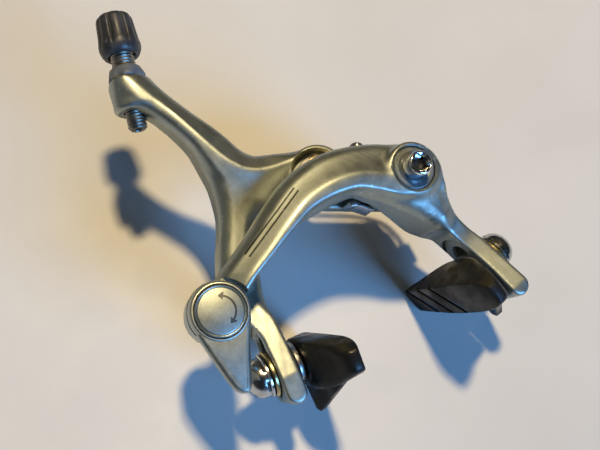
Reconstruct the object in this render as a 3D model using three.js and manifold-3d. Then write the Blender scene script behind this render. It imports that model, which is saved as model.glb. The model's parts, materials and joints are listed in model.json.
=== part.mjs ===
// Dual-pivot rim brake caliper for a road bicycle.
// Millimetres. +Z up, -Y to the front of the brake, +Y into the fork crown.
// Origin: the axis of the centre bolt where the seat washer meets the fork crown.
// The arms stand at their open stop, as the return spring holds them.
import * as THREE from "three";
import { mergeVertices } from "three/addons/utils/BufferGeometryUtils.js";
import Module from "manifold-3d";

const wasm = await Module();
wasm.setup();

// ---------- driving dimensions ----------
const GAP = 0.3; // clearance between touching pieces
const SIDE = new THREE.Vector2(23.5, -11.8); // side pivot axis, X and Z
const HUB_R = 9.6; // rear arm hub
const SIDE_HUB_R = 9.3; // front arm hub
const ARM_FRONT = -22; // front face of the rear arm's hub
const ARM_BACK = -9.9; // back face of both arms at their hubs
const SIDE_FRONT = -35; // front face of the front arm at the side pivot
const BRACKET_FRONT = -8.6;
const BRACKET_BACK = -3.3;
const BRACKET_R = 7.8;
const SEAT_R = 8.5; // seat washer against the fork crown
const CENTRE_BOLT_R = 4; // pivot part of the centre bolt
const MOUNT_THREAD_R = 3; // M6 thread into the fork crown
const MOUNT_THREAD_END = 22;
const RECESS_R = 8.0; // pocket round the centre pivot nut
const SIDE_RECESS_R = 7.4; // pocket round the side pivot bolt
const SIDE_BOLT_R = 3;
const SIDE_HEAD_R = 4;
const BARREL_FOOT = new THREE.Vector3(-44.3, -17, 35); // lower end of the adjuster
const BARREL_TILT = 12.5; // degrees from upright, leaning to +X
const BARREL_LENGTH = 35.2;
const BARREL_R = 2.95; // M6 thread
const CABLE_BORE_R = 1.2;
const QR = new THREE.Vector2(-49.3, -25.5); // quick-release axis, X and Z
const QR_BOSS_R = 8.6;
const QR_BOSS_FRONT = -31;
const QR_BOSS_BACK = -22.6;
const QR_SHAFT_R = 5;
const BLADE_Y = -17; // mid-depth of both shoe blades
const BLADE_HALF = 3.2; // half the blade thickness
const STUD_R = 2.9; // M6 shoe stud
const SLOT_HALF_Y = 3.25;
const LEFT_STUD = new THREE.Vector2(-36.8, -48);
const LEFT_LEAN = 4.4; // degrees the left blade leans outwards
const RIGHT_STUD = new THREE.Vector2(38.4, -48);
const RIGHT_LEAN = 15;
const LEFT_SHOE_PITCH = 7; // degrees nose-down
const RIGHT_SHOE_PITCH = 6;

// Arm outlines as stations: [x, z, half width, front y, back y].
const REAR_LIMB = [
  [-40.6, 47.5, 5.2, -22.6, -11.4],
  [-38.6, 43.6, 6.0, -22.8, -11.2],
  [-36.3, 39.2, 6.1, -22.7, -11.3],
  [-32.8, 31.8, 5.7, -22.3, -11.5],
  [-29.9, 25.0, 5.9, -22.2, -11.2],
  [-27.6, 18.0, 6.7, -22.3, -10.8],
  [-27.3, 10.5, 7.0, -22.4, -10.4],
  [-28.6, 2.5, 6.9, -22.4, -10.2],
  [-31.2, -5.5, 6.9, -22.4, -10.1],
  [-34.6, -13.5, 7.0, -22.4, -10.0],
  [-37.2, -21.0, 6.8, -22.6, -10.0],
  [-37.8, -27.6, 5.7, -23.2, -10.0],
  [-36.4, -32.6, 3.9, -23.9, -9.9],
  [-35.9, -36.4, 3.2, -24.2, -9.8],
  [-36.2, -40.6, 3.2, -24.2, -9.8],
  [-36.7, -48.0, 3.2, -24.2, -9.8],
  [-37.3, -55.5, 3.2, -23.6, -10.4],
  [-37.5, -58.6, 2.6, -20.6, -13.4],
];
const REAR_WEB = [
  [-31.5, -8.5, 9.0, -22.2, -10.2],
  [-22.0, -4.2, 10.6, -22.1, -10.1],
  [-13.0, -0.4, 10.6, -22.0, -10.0],
  [-5.0, 0.2, 9.8, -22.0, -9.9],
  [0.5, 0.0, 9.6, -22.0, -9.9],
];
const REAR_GUSSET = [
  [-27.0, 12.0, 6.0, -22.1, -10.6],
  [-21.0, 9.0, 7.8, -22.1, -10.4],
  [-14.6, 4.4, 8.3, -22.0, -10.1],
  [-8.0, 1.6, 8.8, -22.0, -9.9],
  [-2.0, 0.4, 9.2, -22.0, -9.9],
];
const FRONT_BAND = [
  [-48.0, -24.5, 6.4, -32.0, -23.4],
  [-42.0, -20.6, 5.4, -33.4, -24.2],
  [-33.8, -15.6, 4.9, -34.8, -25.4],
  [-24.6, -10.0, 5.2, -35.6, -25.4],
  [-14.0, -4.8, 5.9, -36.2, -25.4],
  [-4.0, -2.2, 6.6, -36.4, -25.4],
  [6.0, -2.4, 6.9, -36.3, -25.2],
  [14.5, -5.4, 7.7, -36.0, -22.0],
  [20.5, -9.2, 9.0, -35.6, -12.0],
];
const FRONT_LIMB = [
  [23.5, -11.8, 7.6, -34.6, -10.4],
  [27.2, -18.6, 5.6, -33.4, -10.2],
  [29.8, -25.0, 4.2, -30.6, -10.0],
  [32.4, -32.0, 3.4, -27.0, -9.9],
  [36.0, -39.5, 3.2, -24.6, -9.8],
  [38.3, -47.8, 3.2, -24.2, -9.8],
  [40.6, -56.0, 3.2, -24.0, -10.0],
  [41.6, -60.0, 3.1, -22.6, -11.4],
  [42.0, -61.8, 2.5, -19.8, -14.2],
];

// Return spring wire, end to end behind the arms.
const SPRING_WIRE_R = 0.9;
const SPRING_PATH = [
  [-36.0, -7.5, -22.0],
  [-34.2, -7.4, -18.0],
  [-29.6, -6.6, -9.6],
  [-22.0, -6.0, -0.4],
  [-13.0, -6.0, 7.2],
  [-4.0, -6.0, 10.9],
  [4.6, -6.0, 10.6],
  [14.0, -6.0, 5.4],
  [24.0, -6.0, -0.8],
  [31.0, -6.2, -7.6],
  [33.4, -7.2, -15.0],
  [33.0, -7.5, -20.0],
  [32.6, -7.5, -24.0],
];

// ---------- materials ----------
const finish = (color, metalness, roughness) =>
  new THREE.MeshStandardMaterial({ color, metalness, roughness });
const ANODISED = [0xa9a698, 0.85, 0.38];
const CHROME = [0xc9cbd0, 1.0, 0.14];
const STEEL = [0x8b8c8e, 1.0, 0.4];
const DARK_STEEL = [0x4a4b4d, 0.9, 0.45];
const BRASS = [0x9a8348, 1.0, 0.4];
const RUBBER = [0x1b1b1a, 0.0, 0.7];
const KNOB = [0x36373a, 0.0, 0.6];
const GREY = [0x5d5f63, 0.2, 0.5];
const NYLON = [0x232324, 0.0, 0.55];

// ---------- solids ----------
function solid(geometry) {
  const bare = geometry.clone();
  bare.deleteAttribute("normal");
  bare.deleteAttribute("uv");
  const merged = mergeVertices(bare, 1e-4);
  return new wasm.Manifold(
    new wasm.Mesh({
      numProp: 3,
      vertProperties: merged.attributes.position.array,
      triVerts: new Uint32Array(merged.index.array),
    }),
  );
}

function geometryOf(body) {
  const mesh = body.getMesh();
  const geometry = new THREE.BufferGeometry();
  const points = new Float32Array(mesh.vertProperties);
  geometry.setAttribute("position", new THREE.BufferAttribute(points, 3));
  geometry.setIndex(Array.from(mesh.triVerts));
  geometry.computeVertexNormals();
  return geometry;
}

function join(geometries) {
  return geometries.map(solid).reduce((all, next) => all.add(next));
}

function cut(body, geometries) {
  return geometries.map(solid).reduce((rest, tool) => rest.subtract(tool), body);
}

// A body turned round an axis parallel to Y at (x, z); the profile is [radius, y] pairs.
function turned(profile, x, z, segments = 28) {
  const points = profile.map(([r, y]) => new THREE.Vector2(r, y));
  const geometry = new THREE.LatheGeometry(points, segments);
  return geometry.translate(x, 0, z);
}

// A ring or disc between two y values, with softened edges.
function disc(outer, inner, y0, y1, x, z, segments = 28, bevel = 0.2) {
  const rim = [
    [outer - bevel, y0],
    [outer, y0 + bevel],
    [outer, y1 - bevel],
    [outer - bevel, y1],
  ];
  const square = [
    [outer, y0],
    [outer, y1],
  ];
  const profile = [[inner, y0], ...(bevel > 0 ? rim : square), [inner, y1]];
  if (inner > 0) profile.push([inner, y0]);
  return turned(profile, x, z, segments);
}

function drill(radius, y0, y1, x, z, segments = 24) {
  const geometry = new THREE.CylinderGeometry(radius, radius, y1 - y0, segments);
  return geometry.translate(x, (y0 + y1) / 2, z);
}

function hexPrism(acrossFlats, y0, y1, x, z) {
  const radius = acrossFlats / Math.sqrt(3);
  return drill(radius, y0, y1, x, z, 6);
}

// Smooth values between stations.
function between(stations, steps) {
  const rows = [];
  const last = stations.length - 1;
  for (let i = 0; i < last; i += 1) {
    for (let k = 0; k < steps; k += 1) {
      const t = k / steps;
      const before = stations[Math.max(i - 1, 0)];
      const after = stations[Math.min(i + 2, last)];
      rows.push(
        stations[i].map((value, j) => spline(before[j], value, stations[i + 1][j], after[j], t)),
      );
    }
  }
  rows.push(stations[last]);
  return rows;
}

function spline(a, b, c, d, t) {
  const bend = 2 * a - 5 * b + 4 * c - d;
  const twist = 3 * b - a - 3 * c + d;
  return b + 0.5 * t * (c - a + t * (bend + t * twist));
}

// Closes a stack of equal rings into a solid; outward depends on the ring's turn.
function skin(rings) {
  const count = rings[0].length;
  const points = rings.flat();
  const first = points.length;
  const centre = (ring) =>
    ring.reduce((sum, p) => sum.add(p), new THREE.Vector3()).divideScalar(ring.length);
  points.push(centre(rings[0]), centre(rings[rings.length - 1]));
  const faces = [];
  for (let i = 0; i < rings.length - 1; i += 1) {
    for (let j = 0; j < count; j += 1) {
      const k = (j + 1) % count;
      const a = i * count + j;
      const b = i * count + k;
      const c = (i + 1) * count + k;
      const d = (i + 1) * count + j;
      faces.push(a, b, c, a, c, d);
    }
  }
  const top = (rings.length - 1) * count;
  for (let j = 0; j < count; j += 1) {
    const k = (j + 1) % count;
    faces.push(first, k, j, first + 1, top + j, top + k);
  }
  return facesOut(points, faces);
}

function facesOut(points, faces) {
  let volume = 0;
  const cross = new THREE.Vector3();
  for (let i = 0; i < faces.length; i += 3) {
    cross.crossVectors(points[faces[i + 1]], points[faces[i + 2]]);
    volume += points[faces[i]].dot(cross);
  }
  if (volume < 0) {
    for (let i = 0; i < faces.length; i += 3) {
      [faces[i + 1], faces[i + 2]] = [faces[i + 2], faces[i + 1]];
    }
  }
  const geometry = new THREE.BufferGeometry().setFromPoints(points);
  geometry.setIndex(faces);
  return geometry.toNonIndexed();
}

// A limb of rounded-box section along stations in the XZ plane.
function limb(stations, steps = 2, around = 16, squareness = 2.6) {
  const rows = between(stations, steps);
  const rings = rows.map((row, i) => {
    const before = rows[Math.max(i - 1, 0)];
    const after = rows[Math.min(i + 1, rows.length - 1)];
    const along = new THREE.Vector2(after[0] - before[0], after[1] - before[1]).normalize();
    const [x, z, half, front, back] = row;
    const ring = [];
    for (let j = 0; j < around; j += 1) {
      const angle = (2 * Math.PI * j) / around;
      const across = half * rounded(Math.cos(angle), squareness);
      const depth = ((back - front) / 2) * rounded(Math.sin(angle), squareness);
      const y = (front + back) / 2 + depth;
      ring.push(new THREE.Vector3(x + across * along.y, y, z - across * along.x));
    }
    return ring;
  });
  return skin(rings);
}

function rounded(value, squareness) {
  return Math.sign(value) * Math.abs(value) ** (2 / squareness);
}

// An outline in X and Z given depth along Y.
function plate(outline, y0, y1, holes = [], bevel = 0) {
  const shape = new THREE.Shape(outline.map(([x, z]) => new THREE.Vector2(x, z)));
  holes.forEach(([x, z, r]) => {
    shape.holes.push(new THREE.Path().absarc(x, z, r, 0, 2 * Math.PI, true));
  });
  const geometry = new THREE.ExtrudeGeometry(shape, {
    depth: y1 - y0 - 2 * bevel,
    curveSegments: 16,
    bevelEnabled: bevel > 0,
    bevelThickness: bevel,
    bevelSize: bevel,
    bevelOffset: -bevel,
    bevelSegments: 1,
  });
  return geometry.rotateX(Math.PI / 2).translate(0, y1 - bevel, 0);
}

// ---------- frames of the turned-over pieces ----------
// Barrel frame: local +Y runs up the adjuster from its foot.
const barrelFrame = new THREE.Matrix4().compose(
  BARREL_FOOT,
  new THREE.Quaternion().setFromEuler(
    new THREE.Euler(0, THREE.MathUtils.degToRad(BARREL_TILT), 0),
  ),
  new THREE.Vector3(1, 1, 1),
);

function onBarrel(geometry) {
  return geometry.rotateX(Math.PI / 2).applyMatrix4(barrelFrame);
}

function barrelTube(profile, segments = 24) {
  const points = profile.map(([r, y]) => new THREE.Vector2(r, y));
  return onBarrel(new THREE.LatheGeometry(points, segments));
}

// Shoe frame: origin on the blade's mid-plane at the stud, +X outwards, +Z up the blade.
function shoeFrame(stud, side, lean) {
  const turn = THREE.MathUtils.degToRad(lean);
  const outward = new THREE.Vector3(side * Math.cos(turn), 0, Math.sin(turn));
  const up = new THREE.Vector3(-side * Math.sin(turn), 0, Math.cos(turn));
  const back = new THREE.Vector3(0, 1, 0);
  const frame = new THREE.Matrix4().makeBasis(outward, back, up);
  return frame.setPosition(stud.x, BLADE_Y, stud.y);
}

const leftFrame = shoeFrame(LEFT_STUD, -1, LEFT_LEAN);
const rightFrame = shoeFrame(RIGHT_STUD, 1, RIGHT_LEAN);

// Puts a closed shape into a frame that may mirror it, faces still out.
function placed(geometry, frame) {
  const bare = geometry.index ? geometry.toNonIndexed() : geometry.clone();
  bare.deleteAttribute("normal");
  bare.deleteAttribute("uv");
  bare.applyMatrix4(frame);
  if (frame.determinant() < 0) {
    const p = bare.attributes.position;
    for (let i = 0; i < p.count; i += 3) {
      const b = new THREE.Vector3().fromBufferAttribute(p, i + 1);
      const c = new THREE.Vector3().fromBufferAttribute(p, i + 2);
      p.setXYZ(i + 1, c.x, c.y, c.z);
      p.setXYZ(i + 2, b.x, b.y, b.z);
    }
  }
  return bare;
}

// A body turned round the stud axis; the profile is [radius, x] pairs, x outwards.
function studTurned(profile, frame, segments = 24) {
  const points = profile.map(([r, x]) => new THREE.Vector2(r, x));
  const geometry = new THREE.LatheGeometry(points, segments).rotateZ(-Math.PI / 2);
  return placed(geometry, frame);
}

function bladeSlot(frame, low, high) {
  const shape = new THREE.Shape();
  shape.absarc(0, high, SLOT_HALF_Y, 0, Math.PI, false);
  shape.absarc(0, low, SLOT_HALF_Y, Math.PI, 2 * Math.PI, false);
  const geometry = new THREE.ExtrudeGeometry(shape, {
    depth: 16,
    curveSegments: 10,
    bevelEnabled: false,
  });
  geometry.translate(0, 0, -8);
  const lay = new THREE.Matrix4().makeBasis(
    new THREE.Vector3(0, 1, 0),
    new THREE.Vector3(0, 0, 1),
    new THREE.Vector3(1, 0, 0),
  );
  return placed(geometry.applyMatrix4(lay), frame);
}

// ---------- rear arm ----------
function rearArm() {
  const boss = barrelTube([
    [0, 5.6],
    [5.2, 5.6],
    [5.9, 6.4],
    [5.9, 14.4],
    [5.3, 15.1],
    [0, 15.1],
  ]);
  const hub = disc(HUB_R, 0, ARM_FRONT, ARM_BACK, 0, 0, 32, 0.6);
  const tail = plate(
    [
      [4, -6.3],
      [12.8, -6.3],
      [12.8, -8.6],
      [11.4, -10.8],
      [4, -9.0],
    ],
    -20.5,
    ARM_BACK,
  );
  const body = join([
    limb(REAR_LIMB),
    limb(REAR_WEB, 1, 18, 3.4),
    limb(REAR_GUSSET, 2, 14, 3),
    boss,
    hub,
    tail,
  ]);
  const bore = onBarrel(new THREE.CylinderGeometry(3.25, 3.25, 26, 28).translate(0, 9, 0));
  return cut(body, [
    drill(CENTRE_BOLT_R + GAP, ARM_FRONT - 4, ARM_BACK + 4, 0, 0),
    drill(RECESS_R, ARM_FRONT - 5, ARM_FRONT + 3.4, -0.8, 0, 32),
    bore,
    onBarrel(new THREE.CylinderGeometry(7.5, 7.5, 6, 32).translate(0, 18.2, 0)),
    bladeSlot(leftFrame, -4.2, 8.4),
  ]);
}

// ---------- front arm ----------
const SCREW_FOOT = new THREE.Vector3(12.5, -16, -5.6); // tip of the centring screw
const SCREW_TILT = 30; // degrees from upright, leaning to +X
const screwFrame = new THREE.Matrix4()
  .makeRotationY(THREE.MathUtils.degToRad(SCREW_TILT))
  .setPosition(SCREW_FOOT);

function screwTube(profile, segments = 24) {
  const points = profile.map(([r, y]) => new THREE.Vector2(r, y));
  const geometry = new THREE.LatheGeometry(points, segments).rotateX(Math.PI / 2);
  return geometry.applyMatrix4(screwFrame);
}

function frontArm() {
  const hub = disc(SIDE_HUB_R, 0, SIDE_FRONT, ARM_BACK, SIDE.x, SIDE.y, 32, 1.0);
  const boss = disc(QR_BOSS_R, 0, QR_BOSS_FRONT, QR_BOSS_BACK, QR.x, QR.y, 36, 0.7);
  const lug = plate(
    [
      [10.9, -5.2],
      [18.5, -5.2],
      [20.5, -3.0],
      [19.5, 0.6],
      [11.9, 0.6],
      [10.9, -0.6],
    ],
    -20.2,
    -11.6,
  );
  const body = join([
    limb(FRONT_BAND, 2, 18, 2.5),
    limb(FRONT_LIMB, 2, 16, 2.8),
    hub,
    boss,
    lug,
  ]);
  const screwBore = new THREE.CylinderGeometry(1.55, 1.55, 22, 20)
    .rotateX(Math.PI / 2)
    .translate(0, 0, 9)
    .applyMatrix4(screwFrame);
  return cut(body, [
    drill(SIDE_BOLT_R + 1.6, SIDE_FRONT - 2, ARM_BACK + 2, SIDE.x, SIDE.y),
    drill(SIDE_RECESS_R, SIDE_FRONT - 5, SIDE_FRONT + 3.2, SIDE.x, SIDE.y, 32),
    drill(QR_SHAFT_R + GAP, QR_BOSS_FRONT - 4, QR_BOSS_BACK + 6, QR.x, QR.y),
    drill(QR_BOSS_R + 1.4, QR_BOSS_FRONT - 4, QR_BOSS_FRONT, QR.x, QR.y, 44),
    bladeSlot(rightFrame, -6.2, 6.4),
    screwBore,
  ]);
}

// ---------- bracket, bolts and spring ----------
function bracketOutline() {
  const shape = new THREE.Shape();
  const lean = Math.atan2(SIDE.y, SIDE.x);
  const top = lean + Math.PI / 2;
  shape.absarc(0, 0, BRACKET_R, top, top + Math.PI, false);
  shape.absarc(SIDE.x, SIDE.y, BRACKET_R - 1.2, top + Math.PI, top + 2 * Math.PI, false);
  return shape.getPoints(13).map((p) => [p.x, p.y]);
}

function rearBracket() {
  const body = solid(plate(bracketOutline(), BRACKET_FRONT, BRACKET_BACK, [], 0.5));
  return cut(body, [
    drill(CENTRE_BOLT_R + GAP, -12, 0, 0, 0),
    drill(SIDE_BOLT_R + GAP, -12, 0, SIDE.x, SIDE.y),
  ]);
}

function centreBolt() {
  const body = turned(
    [
      [0, -24.9],
      [3.4, -24.9],
      [CENTRE_BOLT_R, -24.3],
      [CENTRE_BOLT_R, -2.9],
      [MOUNT_THREAD_R, -2.3],
      [MOUNT_THREAD_R, MOUNT_THREAD_END - 0.8],
      [2.3, MOUNT_THREAD_END],
      [0, MOUNT_THREAD_END],
    ],
    0,
    0,
  );
  return cut(solid(body), [hexPrism(3.4, -27, -22.6, 0, 0)]);
}

function centreNut() {
  const body = solid(hexPrism(10.6, -24.8, -20.0, 0, 0));
  const crown = solid(disc(6.0, 0, -24.8, -20.0, 0, 0, 36, 0.7));
  return cut(body.intersect(crown), [drill(CENTRE_BOLT_R + GAP, -28, -16, 0, 0)]);
}

function sideBolt() {
  const head = [
    [0, -39.4],
    [SIDE_HEAD_R - 0.9, -39.4],
    [SIDE_HEAD_R - 0.25, -38.9],
    [SIDE_HEAD_R, -38.0],
    [SIDE_HEAD_R, -34.1],
    [SIDE_BOLT_R, -34.1],
    [SIDE_BOLT_R, -4.2],
    [SIDE_BOLT_R - 0.6, -3.6],
    [0, -3.6],
  ];
  const body = solid(turned(head, SIDE.x, SIDE.y));
  return cut(body, [hexPrism(5, -42, -36.2, SIDE.x, SIDE.y)]);
}

function springWire() {
  const points = SPRING_PATH.map(([x, y, z]) => new THREE.Vector3(x, y, z));
  const curve = new THREE.CatmullRomCurve3(points);
  const circle = new THREE.Shape();
  for (let j = 0; j < 8; j += 1) {
    const angle = (2 * Math.PI * j) / 8;
    const x = SPRING_WIRE_R * Math.cos(angle);
    const y = SPRING_WIRE_R * Math.sin(angle);
    if (j === 0) circle.moveTo(x, y);
    else circle.lineTo(x, y);
  }
  circle.closePath();
  return new THREE.ExtrudeGeometry(circle, { steps: 32, extrudePath: curve, bevelEnabled: false });
}

// A block on the back of an arm that the spring's end slides in.
function springSlider(end, next) {
  const from = new THREE.Vector3(...end);
  const along = new THREE.Vector3(...next).sub(from).normalize();
  const aim = new THREE.Quaternion().setFromUnitVectors(new THREE.Vector3(1, 0, 0), along);
  const frame = new THREE.Matrix4().compose(from, aim, new THREE.Vector3(1, 1, 1));
  const block = solid(new THREE.BoxGeometry(7, 4.2, 5).translate(0.6, 0, 0).applyMatrix4(frame));
  const hole = new THREE.CylinderGeometry(SPRING_WIRE_R + GAP, SPRING_WIRE_R + GAP, 12, 20)
    .rotateZ(Math.PI / 2)
    .translate(3.2, 0, 0)
    .applyMatrix4(frame);
  return cut(block, [hole]);
}

// A slotted steel plate on the bracket that the rear arm's tail rests on when open.
function stopPlate() {
  const outline = [
    [6.4, -11.2],
    [12.0, -11.2],
    [13.0, -12.8],
    [13.9, -16.6],
    [12.9, -17.3],
    [8.4, -13.4],
    [6.4, -13.0],
  ];
  const body = solid(plate(outline, -16.8, BRACKET_FRONT - GAP, [], 0.3));
  const slit = new THREE.BoxGeometry(3.2, 5, 0.8)
    .rotateY(THREE.MathUtils.degToRad(42))
    .translate(11.2, -16.4, -14.2);
  return cut(body, [slit]);
}

// ---------- cable adjuster ----------
function adjusterBarrel() {
  return barrelTube([
    [CABLE_BORE_R, 0],
    [2.3, 0],
    [BARREL_R, 0.7],
    [BARREL_R, 22.9],
    [2.4, 23.2],
    [2.4, BARREL_LENGTH],
    [CABLE_BORE_R, BARREL_LENGTH],
    [CABLE_BORE_R, 0],
  ]);
}

function adjusterKnob() {
  const body = solid(
    barrelTube([
      [2.75, 23.4],
      [4.3, 23.4],
      [4.9, 24.6],
      [6.1, 26.2],
      [6.35, 27.6],
      [5.6, 36.0],
      [5.0, 36.9],
      [2.75, 36.9],
      [2.75, 23.4],
    ], 32),
  );
  const flutes = [];
  for (let i = 0; i < 8; i += 1) {
    const angle = (2 * Math.PI * i) / 8;
    const flute = new THREE.CylinderGeometry(1.5, 1.7, 9.4, 10)
      .rotateZ(0.06)
      .translate(7.15, 31.4, 0)
      .rotateY(angle);
    flutes.push(onBarrel(flute));
  }
  return cut(body, flutes);
}

function lockRing() {
  const body = solid(
    barrelTube([
      [BARREL_R + GAP, 15.5],
      [5.2, 15.5],
      [5.85, 16.1],
      [5.85, 17.3],
      [4.8, 18.4],
      [4.6, 20.0],
      [BARREL_R + GAP, 20.0],
      [BARREL_R + GAP, 15.5],
    ]),
  );
  const scallops = [];
  for (let i = 0; i < 6; i += 1) {
    const scallop = new THREE.CylinderGeometry(1.6, 1.6, 3.2, 12)
      .translate(6.7, 16.2, 0)
      .rotateY((2 * Math.PI * i) / 6);
    scallops.push(onBarrel(scallop));
  }
  return cut(body, scallops);
}

// ---------- quick release and cable anchor ----------
const LEVER_FRONT = -36.4;
const LEVER_BACK = -31.3;
const TAIL = [
  [-3.6, -7.4],
  [-6.2, -6.2],
  [-6.0, -10.4],
  [-5.6, -14.6],
  [-4.9, -18.4],
  [-3.6, -20.9],
  [-2.2, -21.9],
  [-1.4, -21.0],
  [-0.6, -17.0],
  [1.6, -12.2],
  [4.2, -7.8],
  [7.4, -3.4],
];

function qrLever() {
  const round = disc(8.8, 0, LEVER_FRONT, LEVER_BACK, QR.x, QR.y, 36, 0.6);
  const tail = plate(
    TAIL.map(([x, z]) => [QR.x + x, QR.y + z]),
    LEVER_FRONT + 0.7,
    LEVER_BACK - 0.4,
    [],
    0.7,
  );
  const body = join([round, tail]);
  return cut(body, [
    drill(7.5, LEVER_FRONT - 3, LEVER_FRONT + 1.6, QR.x, QR.y, 36),
    drill(4.3, LEVER_FRONT - 3, LEVER_BACK + 3, QR.x, QR.y),
  ]);
}

function qrCap() {
  return disc(7.2, 0, LEVER_FRONT - 0.5, LEVER_FRONT + 1.3, QR.x, QR.y, 36, 0.4);
}

// The cam spindle is one piece with the anchor seat, set off-centre behind the arm.
const ANCHOR = new THREE.Vector2(QR.x - 2, QR.y);
function qrShaft() {
  const spindle = turned(
    [
      [0, LEVER_FRONT + 2],
      [4, LEVER_FRONT + 2],
      [4, LEVER_BACK + 0.1],
      [QR_SHAFT_R, LEVER_BACK + 0.3],
      [QR_SHAFT_R, QR_BOSS_BACK + 1.2],
      [0, QR_BOSS_BACK + 1.2],
    ],
    QR.x,
    QR.y,
  );
  return cut(solid(spindle), [drill(2.5 + GAP, QR_BOSS_BACK - 7, 0, ANCHOR.x, ANCHOR.y, 24)]);
}

function anchorWasher() {
  const body = solid(disc(5.1, 2.8, QR_BOSS_BACK + 1.5, QR_BOSS_BACK + 3.4, ANCHOR.x, ANCHOR.y));
  const groove = new THREE.CylinderGeometry(0.9, 0.9, 16, 16)
    .rotateX(Math.PI / 2)
    .translate(ANCHOR.x - 4, QR_BOSS_BACK + 1.5, ANCHOR.y);
  return cut(body, [groove]);
}

function anchorBolt() {
  const body = turned(
    [
      [0, QR_BOSS_BACK - 6],
      [2.5, QR_BOSS_BACK - 6],
      [2.5, QR_BOSS_BACK + 3.7],
      [4.3, QR_BOSS_BACK + 3.7],
      [4.3, QR_BOSS_BACK + 7.4],
      [3.8, QR_BOSS_BACK + 8],
      [0, QR_BOSS_BACK + 8],
    ],
    ANCHOR.x,
    ANCHOR.y,
  );
  const socket = hexPrism(5, QR_BOSS_BACK + 5.2, QR_BOSS_BACK + 10, ANCHOR.x, ANCHOR.y);
  return cut(solid(body), [socket]);
}

// ---------- brake shoes ----------
// Sections across the shoe at distances along it from the stud; each is
// [y, inner x, outer x, top of face, top of back, bottom of back, bottom of face].
const SHOE_SECTIONS = [
  [-24.2, -16.4, -12.8, 1.4, 1.2, -4.6, -4.4],
  [-21.6, -17.0, -10.6, 3.2, 3.2, -6.0, -5.2],
  [-15.0, -17.0, -8.0, 4.2, 5.4, -8.0, -5.4],
  [-8.0, -17.0, -5.6, 4.2, 6.8, -8.8, -5.0],
  [0.0, -17.0, -5.3, 4.2, 7.2, -8.6, -4.6],
  [8.0, -17.0, -5.6, 4.2, 6.6, -7.4, -4.4],
  [16.0, -17.0, -8.6, 4.1, 5.2, -5.6, -4.2],
  [23.0, -17.0, -12.4, 3.8, 3.9, -4.2, -3.8],
  [26.6, -16.6, -14.4, 2.6, 2.6, -2.6, -2.6],
];
const FIN = [
  [-5.4, 2.0, -6.6],
  [-12.6, -20.6, -5.0],
  [-5.8, -3.6, -15.2],
  [-5.6, -0.6, -14.6],
];

function shoeBody(pitch) {
  const rings = between(SHOE_SECTIONS, 2).map(([y, face, back, ft, bt, bb, fb]) => {
    const soft = 0.5;
    return [
      [face, ft - soft],
      [face + soft, ft],
      [back - soft, bt],
      [back, bt - soft],
      [back, bb + soft],
      [back - soft, bb],
      [face + soft, fb],
      [face, fb + soft],
    ].map(([x, z]) => new THREE.Vector3(x, y, z));
  });
  const fin = finWedge();
  const body = join([skin(rings), fin]);
  const seat = new THREE.CylinderGeometry(STUD_R + GAP, STUD_R + GAP, 10, 24)
    .rotateZ(Math.PI / 2)
    .translate(-6.5, 0, 0);
  const grooves = [6, 14, 22].map((y) =>
    new THREE.BoxGeometry(2.4, 1.3, 22)
      .rotateX(THREE.MathUtils.degToRad(-48))
      .translate(-17.3, y - 3, 0),
  );
  return cut(body, [seat, ...grooves]).rotate([-pitch, 0, 0]);
}

// A thin three-cornered fin hanging from the shoe's outer lower edge.
function finWedge() {
  const thick = new THREE.Vector3(-2.4, 0.8, 0);
  const outer = FIN.map(([x, y, z]) => new THREE.Vector3(x, y, z));
  const inner = outer.map((p) => p.clone().add(thick));
  return skin([outer, inner]);
}

function shoe(frame, pitch) {
  const geometry = geometryOf(shoeBody(-pitch)).toNonIndexed();
  return placed(geometry, frame);
}

function shoeStud(frame) {
  return studTurned(
    [
      [0, -11.2],
      [STUD_R, -11.2],
      [STUD_R, 8.2],
      [2.4, 8.8],
      [0, 8.8],
    ],
    frame,
  );
}

function shoeSpacer(frame) {
  return studTurned(
    [
      [STUD_R + GAP, -5.0],
      [6.0, -5.0],
      [6.6, -4.4],
      [6.6, -BLADE_HALF - GAP],
      [STUD_R + GAP, -BLADE_HALF - GAP],
      [STUD_R + GAP, -5.0],
    ],
    frame,
  );
}

function shoeWasher(frame) {
  return studTurned(
    [
      [STUD_R + GAP, BLADE_HALF + GAP],
      [6.9, BLADE_HALF + GAP],
      [6.9, BLADE_HALF + 1.1],
      [6.3, BLADE_HALF + 1.5],
      [STUD_R + GAP, BLADE_HALF + 1.5],
      [STUD_R + GAP, BLADE_HALF + GAP],
    ],
    frame,
  );
}

function shoeNut(frame) {
  const seat = BLADE_HALF + 1.5 + GAP;
  const profile = [
    [STUD_R + GAP, seat],
    [6.6, seat],
    [6.6, seat + 1.0],
  ];
  for (let i = 0; i < 7; i += 1) {
    const angle = (Math.PI / 2) * (i / 6);
    profile.push([6.1 * Math.cos(angle), seat + 1.2 + 5.4 * Math.sin(angle)]);
  }
  profile[profile.length - 1][0] = 0;
  profile.push([0, 9.4], [STUD_R + GAP, 9.4], [STUD_R + GAP, seat]);
  return studTurned(profile, frame, 28);
}

// ---------- assembly ----------
function named(name, body, look) {
  const geometry = body.isBufferGeometry ? body : geometryOf(body);
  const mesh = new THREE.Mesh(geometry, finish(...look));
  mesh.name = name;
  return mesh;
}

function shoeGroup(side, frame, pitch) {
  const group = new THREE.Group();
  group.add(
    named(`${side}_shoe`, shoe(frame, pitch), RUBBER),
    named(`${side}_shoe_stud`, shoeStud(frame), STEEL),
    named(`${side}_shoe_spacer`, shoeSpacer(frame), STEEL),
    named(`${side}_shoe_washer`, shoeWasher(frame), BRASS),
    named(`${side}_shoe_nut`, shoeNut(frame), CHROME),
  );
  return group;
}

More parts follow.
